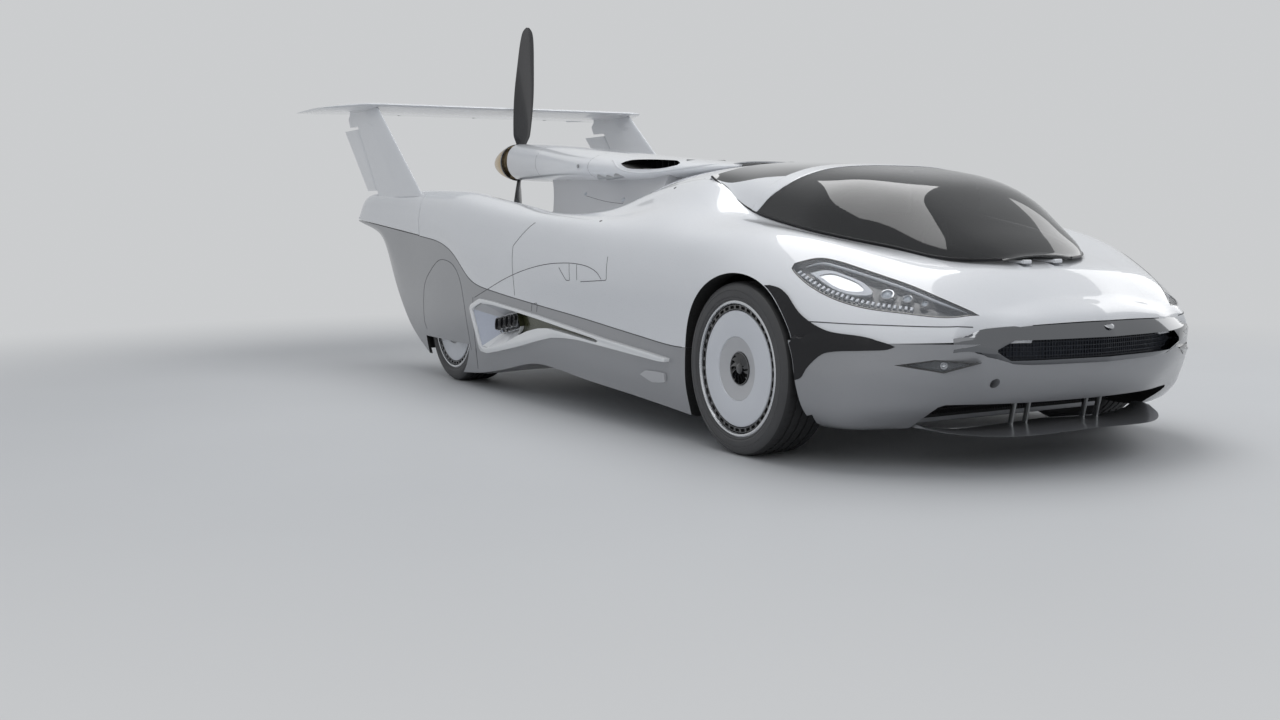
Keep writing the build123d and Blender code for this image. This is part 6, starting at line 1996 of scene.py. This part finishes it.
def wheel_form():
    centre = (0, 0, 0)
    lip = turned("lip", [(0.249, -0.213), (0.2605, -0.213), (0.2605, -0.012), (0.2625, -0.010), (0.2625, -0.0075),
                         (0.2570, -0.0050), (0.2520, -0.0065), (0.2500, -0.0120), (0.249, -0.020)], centre, SILVER, 144)
    back = turned("back", [(0.063, -0.046), (0.2505, -0.046), (0.2505, -0.036), (0.063, -0.036)], centre, BLACK_SATIN, 96)
    disc = turned("disc", [(0.1225, -0.0350), (0.2200, -0.0350), (0.2235, -0.0330), (0.2240, -0.0150), (0.2215, -0.0125),
                           (0.2150, -0.0112), (0.1300, -0.0085), (0.1250, -0.0095), (0.1225, -0.0130)], centre, WHEEL_WHITE,
                  144, angle=40)
    dish = turned("dish", [(0.0640, -0.0355), (0.1222, -0.0355), (0.1222, -0.0130), (0.1190, -0.0135), (0.1000, -0.0190),
                           (0.0850, -0.0225), (0.0700, -0.0250), (0.0660, -0.0262), (0.0640, -0.0290)], centre, GREY_SOFT,
                  120, angle=25)
    bits = [lip, back, disc, dish]
    ring = turned("ring", [(0.2265, -0.0355), (0.2475, -0.0355), (0.2475, -0.0170), (0.2455, -0.0145), (0.2285, -0.0145),
                           (0.2265, -0.0170)], centre, BLACK, 120)
    slots = []
    for k in range(40):
        a = 2 * math.pi * k / 40
        c, s = math.cos(a), math.sin(a)
        rings = []
        for y in (-0.024, 0.02):
            rows = []
            for u, v in ((-0.0125, -0.0058), (0.0125, -0.0058), (0.0125, 0.0058), (-0.0125, 0.0058)):
                rows.append(((0.237 + v) * c - u * s, y, (0.237 + v) * s + u * c))
            rings.append(rows)
        slots.append(loops("slot", rings, LINER))
    cutter = joined("slots", slots)
    carve(ring, [cutter])
    discard(cutter)
    bits.append(ring)
    fan = []
    for k in range(12):
        a = 2 * math.pi * k / 12
        rings = []
        for r in np.linspace(0.020, 0.0595, 8):
            sweep = a + (r - 0.020) * 9.0
            width = 0.0052 + (r - 0.020) * 0.13
            ring_pts = []
            for u, y in ((-width, -0.030), (width, -0.022), (width, -0.025), (-width, -0.033)):
                ring_pts.append((r * math.cos(sweep) - u * math.sin(sweep), y, r * math.sin(sweep) + u * math.cos(sweep)))
            rings.append(ring_pts)
        fan.append(loops("vane", rings, BLACK))
    hub_ring = turned("hub_ring", [(0.0585, -0.0350), (0.0640, -0.0350), (0.0640, -0.0240), (0.0625, -0.0225),
                                   (0.0600, -0.0230), (0.0585, -0.0260)], centre, BLACK, 96)
    cap = turned("cap", [(0.0, -0.0180), (0.0100, -0.0182), (0.0165, -0.0195), (0.0205, -0.0230), (0.0215, -0.0300),
                         (0.0215, -0.0360), (0.0, -0.0360)], centre, BLACK, 64)
    floor = turned("floor", [(0.0, -0.0400), (0.0635, -0.0400), (0.0635, -0.0362), (0.0, -0.0362)], centre, LINER, 64)
    barrel = turned("barrel", [(0.0262, -0.152), (0.0620, -0.152), (0.0640, -0.148), (0.0640, -0.058), (0.0262, -0.058)],
                    centre, CAST, 72)
    bits += fan + [hub_ring, cap, floor, barrel]
    spokes = []
    for k in range(10):
        a = 2 * math.pi * (k + 0.5) / 10
        rings = []
        for r, y, w, h in ((0.060, -0.085, 0.016, 0.020), (0.140, -0.070, 0.013, 0.014), (0.252, -0.062, 0.018, 0.011)):
            rows = []
            for u, v in ((-w, -h), (w, -h), (w, h), (-w, h)):
                rows.append((r * math.cos(a) - u * math.sin(a), y + v, r * math.sin(a) + u * math.cos(a)))
            rings.append(rows)
        spokes.append(loops("spoke", rings, CAST))
    bits += spokes
    return joined("wheel_form", bits)


def build_wheels():
    tyre, wheel = tyre_form(), wheel_form()
    for end, x, face_y in (("front", FRONT_AXLE_X, FRONT_FACE_Y), ("rear", REAR_AXLE_X, REAR_FACE_Y)):
        for side, word in ((1, "left"), (-1, "right")):
            for form, kind, slot_name in ((tyre, "tyre", "tyre"), (wheel, "rim", "rim")):
                mesh = form.data.copy()
                mesh.transform(Matrix.Translation((x, face_y, TYRE_R)))
                obj = bpy.data.objects.new(f"{kind}_{end}_{word}_detail", mesh)
                bpy.context.scene.collection.objects.link(obj)
                if side < 0:
                    mesh.transform(Matrix.Diagonal((1, -1, 1, 1)))
                    mesh.flip_normals()
                placed(obj, f"wheel_{end}_{word}", [f"{kind}_{end}_{word}"])
    discard(tyre, wheel)


# Cabin

SEAT_Y = 0.262
PAD_CAP = 0.010
YOKE_AT = Vector((1.900, SEAT_Y, 0.745))
YOKE_R = 0.165


def pad_form(name, line, half_width, half_thick, material, y=0.0):
    """A crowned pad along a line in x and z, fuller in the middle and drawn in at its ends."""
    path = flowing(line, 31)
    rings = []
    for k, t in enumerate(np.linspace(-1, 1, 31)):
        ahead = path[min(k + 1, 30)] - path[max(k - 1, 0)]
        along = ahead / np.linalg.norm(ahead)
        out = np.array([along[1], -along[0]])
        end = max(0.0, 1 - abs(t) ** 5) ** 0.5
        w = half_width * (0.90 + 0.10 * end) * max(end, 0.16) ** 0.25
        h = half_thick * max(end, 0.10)
        ring = []
        for a in np.linspace(0, 2 * math.pi, 36, endpoint=False):
            c, s = math.cos(a), math.sin(a)
            u = w * math.copysign(abs(c) ** 0.62, c)
            v = h * math.copysign(abs(s) ** 0.75, s) * (1 + 0.10 * (1 - (u / half_width) ** 2))
            ring.append((path[k][0] + out[0] * v, y + u, path[k][1] + out[1] * v))
        rings.append(ring)
    return loops(name, rings, material, angle=60)


def inflated(obj, voxel):
    """Cloth under light pressure from inside; no point moves further than the cap."""
    scene = bpy.context.scene
    step = obj.modifiers.new("even", "REMESH")
    step.mode = "VOXEL"
    step.voxel_size = voxel
    baked(obj)
    before = [v.co.copy() for v in obj.data.vertices]
    cloth = obj.modifiers.new("cloth", "CLOTH")
    cloth.settings.use_pressure = True
    cloth.settings.uniform_pressure_force = 4.0
    cloth.settings.effector_weights.gravity = 0.0
    cloth.point_cache.frame_start = 1
    cloth.point_cache.frame_end = 20
    for frame_number in range(1, 21):
        scene.frame_set(frame_number)
    baked(obj)
    scene.frame_set(1)
    for vert, start in zip(obj.data.vertices, before):
        move = vert.co - start
        if move.length > PAD_CAP:
            vert.co = start + move.normalized() * PAD_CAP
    finish_surface(obj, 60)
    return obj


def pressed(obj, grooves, depth=0.005, width=0.007):
    """Sewn channels: the surface sinks along each line, given by a point, a direction and a normal."""
    normals = [Vector(n.vector) for n in obj.data.vertex_normals]
    for vert, normal in zip(obj.data.vertices, normals):
        sink = 0.0
        for point, across in grooves:
            away = (vert.co - Vector(point)).dot(Vector(across))
            sink = max(sink, math.exp(-(away / width) ** 2))
        vert.co -= normal * sink * depth
    return obj


def build_seats():
    """One seat for each side: shell, base, padded cushion, back, bolsters and headrest."""
    y = SEAT_Y
    lean = Vector((-0.370, 0, 0.929))
    cushion = pad_form("seat_cushion", [(1.120, 0.352), (1.350, 0.352), (1.605, 0.366)], 0.150, 0.046, LEATHER_PALE, y)
    back = pad_form("seat_back", [(1.078, 0.400), (0.985, 0.610), (0.900, 0.812)], 0.135, 0.044, LEATHER_PALE, y)
    head = pad_form("headrest", [(0.886, 0.842), (0.872, 0.880), (0.858, 0.918)], 0.105, 0.040, LEATHER, y)
    soft = [inflated(obj, 0.006) for obj in (cushion, back, head)]
    across_seat = [((1.20 + k * 0.085, y, 0.36), (1, 0, 0.0)) for k in range(4)]
    across_back = [(Vector((1.050, y, 0.455)) + lean * 0.085 * k, lean) for k in range(4)]
    pressed(cushion, across_seat)
    pressed(back, across_back)
    bolsters = []
    for side in (-1, 1):
        for name, line, thick in (("thigh", [(1.130, 0.372), (1.350, 0.376), (1.585, 0.384)], 0.040),
                                  ("flank", [(1.086, 0.420), (1.000, 0.610), (0.915, 0.800)], 0.046)):
            bolster = pad_form(name, line, 0.034, thick, LEATHER, y + side * 0.176)
            bolsters.append(inflated(bolster, 0.006))
    shell = loops("shell", [[(x0, yy, z0) for x0, z0 in ((1.040, 0.335), (0.826, 0.905), (0.792, 0.896), (1.006, 0.330))]
                            for yy in (y - 0.205, y - 0.19, y + 0.19, y + 0.205)], PLASTIC)
    base = block("base", (1.050, y - 0.200, 0.224), (1.590, y + 0.200, 0.318), PLASTIC, 0.012)
    rails = [block("rail", (1.080, y + s * 0.150 - 0.014, 0.2155), (1.640, y + s * 0.150 + 0.014, 0.228), STEEL, 0.002)
             for s in (-1, 1)]
    posts = [rod("post", (0.872, y + s * 0.045, 0.800), (0.866, y + s * 0.045, 0.870), 0.006, STEEL, 16) for s in (-1, 1)]
    stitches = []
    for side in (-1, 1):
        path = [Vector((1.060, y + side * 0.139, 0.470)) + lean * 0.0125 * k + Vector((0.048, 0, 0.019)) for k in range(24)]
        for k in range(0, 24, 1):
            stitches.append(rod("stitch", path[k], path[k] + lean * 0.008, 0.0012, STITCH, 6))
    frame_set = joined("seat_frame", [shell, base] + rails + posts)
    sewn = joined("seat_stitches", stitches)
    softer = joined("seat_bolsters", bolsters)
    for obj, slot_name in ((cushion, "seat"), (back, "seat"), (head, "seat"), (softer, "seat"), (frame_set, "cabin"),
                           (sewn, "seat")):
        stem = obj.name.split(".")[0]
        obj.name = stem + "_left"
        twin = mirrored(obj, stem + "_right")
        for one in (obj, twin):
            placed(one, "body", ["seats"])


def build_cabin():
    xs = np.concatenate([np.arange(1.300, 2.450, 0.03), [2.450]])
    crown = body_profile(xs)[:, 0]
    upper, _ = section_columns(xs)
    rings = []
    for k, x in enumerate(xs):
        wall, (cy, cz) = min(upper[0][k], CABIN_HALF_WIDTH), crown[k]
        rings.append([(x, wall - 0.004, 0.430), (x, wall - 0.004, cz + 0.003), (x, cy - 0.012, cz + 0.003),
                      (x, cy - 0.012, cz + 0.001), (x, wall - 0.001, cz + 0.001), (x, wall - 0.001, 0.430)])
    liner = loops("door_liner_left", rings, PLASTIC)
    rear_wall = block("rear_wall", (0.765, 0.5345, 0.430), (1.300, 0.5385, 0.930), PLASTIC)
    walls = joined("cabin_wall_left", [liner, rear_wall])
    placed(walls, "body", [])
    placed(mirrored(walls, "cabin_wall_right"), "body", [])
    carpet = block("carpet", (0.765, -0.536, 0.2155), (2.376, 0.536, 0.222), CARPET, 0.002)
    placed(carpet, "body", [])
    fire = []
    for x in (2.380, 2.455):
        wall = float(columns(UPPER + BOOM, np.array([x]))[0][0]) - 0.006
        fire.append([(x, -wall, 0.430), (x, wall, 0.430), (x, wall, 0.742), (x, -wall, 0.742)])
    firewall = loops("firewall", fire, PLASTIC)
    bulkhead = block("bulkhead", (0.702, -0.538, 0.215), (0.760, 0.538, 0.965), CARPET, 0.004)
    console = block("console", (1.060, -0.041, 0.223), (1.780, 0.041, 0.372), PLASTIC, 0.012)
    lever = tube("lever", [(1.560, 0, 0.370), (1.566, 0, 0.420), (1.585, 0, 0.470)], [0.006, 0.006, 0.005], STEEL, 16)
    knob = turned("knob", [(0.0, -0.020), (0.013, -0.018), (0.017, 0.0), (0.015, 0.014), (0.0, 0.018)], (1.588, 0, 0.482),
                  LEATHER, 24, "X", 60)
    for obj in (firewall, bulkhead, console):
        placed(obj, "body", ["hull_tub"])
    gear = joined("centre_lever", [lever, knob])
    placed(gear, "body", [])
    profile = flowing([(2.370, 0.524), (2.372, 0.738), (2.300, 0.751), (2.130, 0.769), (2.046, 0.748), (2.032, 0.692),
                       (2.088, 0.562), (2.160, 0.522), (2.370, 0.524)], 72, 0.55)[:-1]
    rings = []
    for y in np.linspace(-0.5, 0.5, 41):
        hood = 0.010 * math.exp(-((abs(y) - SEAT_Y) / 0.15) ** 4)
        edge = max(0.0, (abs(y) - 0.40) / 0.10)
        rings.append([(x + 0.030 * edge ** 2 * (x < 2.2), y, z + hood * (z > 0.70) - 0.010 * edge ** 2 * (z > 0.70))
                      for x, z in profile])
    dash = loops("dash_form", rings, PLASTIC, angle=40)
    side_air = [loops("air", [[(x, s * (float(columns(UPPER + BOOM, np.array([x]))[0][0]) - 0.005), z),
                               (x, s * 0.62, z), (x, s * 0.62, z + 0.4), (x, s * (float(
                                   columns(UPPER + BOOM, np.array([x]))[0][0]) - 0.005), z + 0.4)]
                              for x, z in ((1.98, 0.45), (2.10, 0.45), (2.20, 0.45), (2.30, 0.45), (2.40, 0.45))], PLASTIC)
                for s in (1, -1)]
    carve(dash, side_air, 40)
    discard(*side_air)
    placed(dash, "body", ["dashboard"])
    lean = math.atan2(0.060, 0.130)
    bits = []
    for y0, y1 in ((0.095, 0.430), (-0.430, -0.095)):
        for grow, depth, material in ((0.006, 0.0, BLACK_SATIN), (0.0, 0.0015, SCREEN)):
            rings = []
            for y in (y0 - grow, y1 + grow):
                ring = []
                for z, out in ((0.694 + grow, 0.0), (0.694 + grow, 0.003), (0.598 - grow, 0.003), (0.598 - grow, 0.0)):
                    x = 2.031 + (0.690 - z) * 0.4615
                    ring.append((x - (out + depth) * math.cos(lean), y, z - (out + depth) * math.sin(lean)))
                rings.append(ring)
            bits.append(loops("display", rings, material))
    for k in range(4):
        for j in range(2):
            z = 0.665 - j * 0.045
            at = (2.028 + (0.690 - z) * 0.4615 - 0.004, -0.051 + k * 0.034, z)
            bits.append(turned("knob", [(0.0, -0.012), (0.0095, -0.012), (0.011, -0.009), (0.0115, 0.008), (0.0, 0.008)],
                               at, STEEL if j else BLACK, 28, "X"))
    shown = joined("dash_displays", bits)
    placed(shown, "body", ["dashboard"])
    turn = Matrix.Rotation(math.radians(65), 4, "Y")
    move = Matrix.Translation(YOKE_AT)
    circle = [(YOKE_R * math.cos(a), YOKE_R * math.sin(a), 0) for a in np.linspace(0, 2 * math.pi, 72, endpoint=False)]
    rim = tube("wheel_rim", circle, [0.0135 + 0.0015 * math.cos(4 * math.atan2(y, x)) for x, y, _ in circle], LEATHER, 20,
               closed=True)
    arms = [tube("arm", [(0.03 * c, 0.03 * s, -0.006), (0.09 * c, 0.09 * s, -0.010), (0.158 * c, 0.158 * s, 0)],
                 [0.016, 0.012, 0.011], CAST, 16) for c, s in ((0, 1), (0, -1), (-1, 0))]
    boss = turned("boss", [(0.0, -0.024), (0.040, -0.022), (0.046, -0.010), (0.044, 0.006), (0.0, 0.012)], (0, 0, 0),
                  PLASTIC, 48, "X", 50)
    boss.data.transform(Matrix.Rotation(math.radians(90), 4, "Y"))
    wheel = [rim, boss] + arms
    for obj in wheel:
        obj.data.transform(move @ turn)
    column = rod("column", YOKE_AT + Vector((0.012, 0, -0.006)), (2.085, SEAT_Y, 0.660), 0.019, PLASTIC, 32)
    yoke = joined("steering_wheel", wheel + [column])
    placed(yoke, "body", ["steering_yoke"])


bare_side = build_body_sides()
deck = build_deck()
build_bonnet()
hull = build_hull()
pods = build_pods()
build_booms()
nose = build_nose_lower(None)
recess = [trim_air(1), trim_air(-1)]
for obj in (hull, *pods):
    carve(obj, recess)
discard(*recess)
outer_tree = tree_of(bare_side, hull, pods[0], nose)
discard(bare_side)
build_fog_lamps()
build_grille()
build_splitter()
build_intake()
build_arch_panels(outer_tree)
build_side_lines(outer_tree)
canopy = build_canopy()
build_pod()
build_spine()
build_roof(tree_of(deck))
build_propeller()
build_tail()
build_trim()
build_wheels()
build_cabin()
build_seats()

SLOT_FINISH = {
    "body_white": WHITE, "lower_grey": GREY, "black_trim": BLACK, "chrome": CHROME, "grille": BLACK, "lamp": CLEAR,
    "glass_dark": GLASS, "trim_bright": WHITE, "engine": CAST, "seat": LEATHER, "cabin": PLASTIC, "steel": STEEL,
    "tyre": TYRE, "rim": SILVER, "blade": CARBON, "bronze": BRONZE,
}
for part in frame["record"]["subparts"]:
    node = frame["nodes"][part["node"]]
    node.data.materials.clear()
    node.data.materials.append(SLOT_FINISH[part["material_slot"]])


# Stage, light and camera

PALE = (0.60, 0.61, 0.62)


def seen_directly(nodes, links):
    """1 for rays from the camera, off metal and through glass, which see the pale background."""
    path = nodes.new("ShaderNodeLightPath")
    out = path.outputs["Is Camera Ray"]
    for other in ("Is Glossy Ray", "Is Transmission Ray"):
        step = nodes.new("ShaderNodeMath")
        step.operation = "MAXIMUM"
        links.new(out, step.inputs[0])
        links.new(path.outputs[other], step.inputs[1])
        out = step.outputs["Value"]
    return out


def build_stage():
    """Round floor whose far part fades into the pale background."""
    mat, nodes, links, bsdf = shader("pale floor")
    grain = noise(nodes, links, 0.8, 3.0, 0.5)
    links.new(tinted(nodes, links, grain, (0.60, 0.61, 0.62), (0.64, 0.65, 0.66)), bsdf.inputs["Base Color"])
    bsdf.inputs["Roughness"].default_value = 0.55
    glow = nodes.new("ShaderNodeEmission")
    glow.inputs["Color"].default_value = (*PALE, 1)
    place = nodes.new("ShaderNodeTexCoord")
    distance = nodes.new("ShaderNodeVectorMath")
    distance.operation = "LENGTH"
    links.new(place.outputs["Object"], distance.inputs[0])
    far = nodes.new("ShaderNodeMapRange")
    far.interpolation_type = "SMOOTHSTEP"
    far.inputs["From Min"].default_value = 2.8
    far.inputs["From Max"].default_value = 6.5
    links.new(distance.outputs["Value"], far.inputs["Value"])
    both = nodes.new("ShaderNodeMath")
    both.operation = "MULTIPLY"
    links.new(far.outputs["Result"], both.inputs[0])
    links.new(seen_directly(nodes, links), both.inputs[1])
    mix = nodes.new("ShaderNodeMixShader")
    links.new(both.outputs["Value"], mix.inputs["Fac"])
    links.new(bsdf.outputs["BSDF"], mix.inputs[1])
    links.new(glow.outputs["Emission"], mix.inputs[2])
    links.new(mix.outputs["Shader"], nodes["Material Output"].inputs["Surface"])
    size = 60.0
    floor = new_object("floor", [(-size, -size, 0), (size, -size, 0), (size, size, 0), (-size, size, 0)],
                       [(0, 1, 2, 3)], mat)


def build_world():
    """Soft light from all round; directly seen it is plain and pale."""
    world = bpy.data.worlds.new("studio")
    bpy.context.scene.world = world
    world.use_nodes = True
    nodes, links = world.node_tree.nodes, world.node_tree.links
    light = nodes["Background"]
    light.inputs["Color"].default_value = (0.84, 0.87, 0.92, 1)
    light.inputs["Strength"].default_value = 0.50
    seen = nodes.new("ShaderNodeBackground")
    seen.inputs["Color"].default_value = (*PALE, 1)
    seen.inputs["Strength"].default_value = 1.0
    mix = nodes.new("ShaderNodeMixShader")
    links.new(seen_directly(nodes, links), mix.inputs["Fac"])
    links.new(light.outputs["Background"], mix.inputs[1])
    links.new(seen.outputs["Background"], mix.inputs[2])
    links.new(mix.outputs["Shader"], nodes["World Output"].inputs["Surface"])


def soft_light(name, place, aim, size, power, size_y=None):
    data = bpy.data.lights.new(name, "AREA")
    data.shape = "RECTANGLE"
    data.size = size
    data.size_y = size_y or size
    data.energy = power
    lamp = bpy.data.objects.new(name, data)
    lamp.location = place
    lamp.rotation_euler = (Vector(aim) - Vector(place)).to_track_quat("-Z", "Y").to_euler()
    bpy.context.scene.collection.objects.link(lamp)


def build_camera():
    data = bpy.data.cameras.new("camera")
    data.lens = CAMERA_LENS
    data.sensor_width = 36.0
    camera = bpy.data.objects.new("camera", data)
    bpy.context.scene.collection.objects.link(camera)
    ahead = Vector(CAMERA_AIM).normalized()
    across = ahead.cross(Vector((0, 0, 1))).normalized()
    down = ahead.cross(across)
    c, s = math.cos(CAMERA_ROLL), math.sin(CAMERA_ROLL)
    image_right = across * c - down * s
    image_down = across * s + down * c
    turn = Matrix((image_right, -image_down, -ahead)).transposed().to_4x4()
    camera.matrix_world = Matrix.Translation(CAMERA_AT) @ turn
    bpy.context.scene.camera = camera


build_stage()
build_world()
soft_light("top", (0.5, 0.5, 5.5), (0.0, 0, 0.5), 7.0, 170, 3.2)
soft_light("front right", (7.5, -4.5, 4.0), (1.5, 0, 0.5), 6.0, 60)
soft_light("left", (1.0, 7.0, 3.5), (0, 0, 0.6), 4.0, 60)
build_camera()
bpy.context.scene.view_settings.view_transform = "Standard"
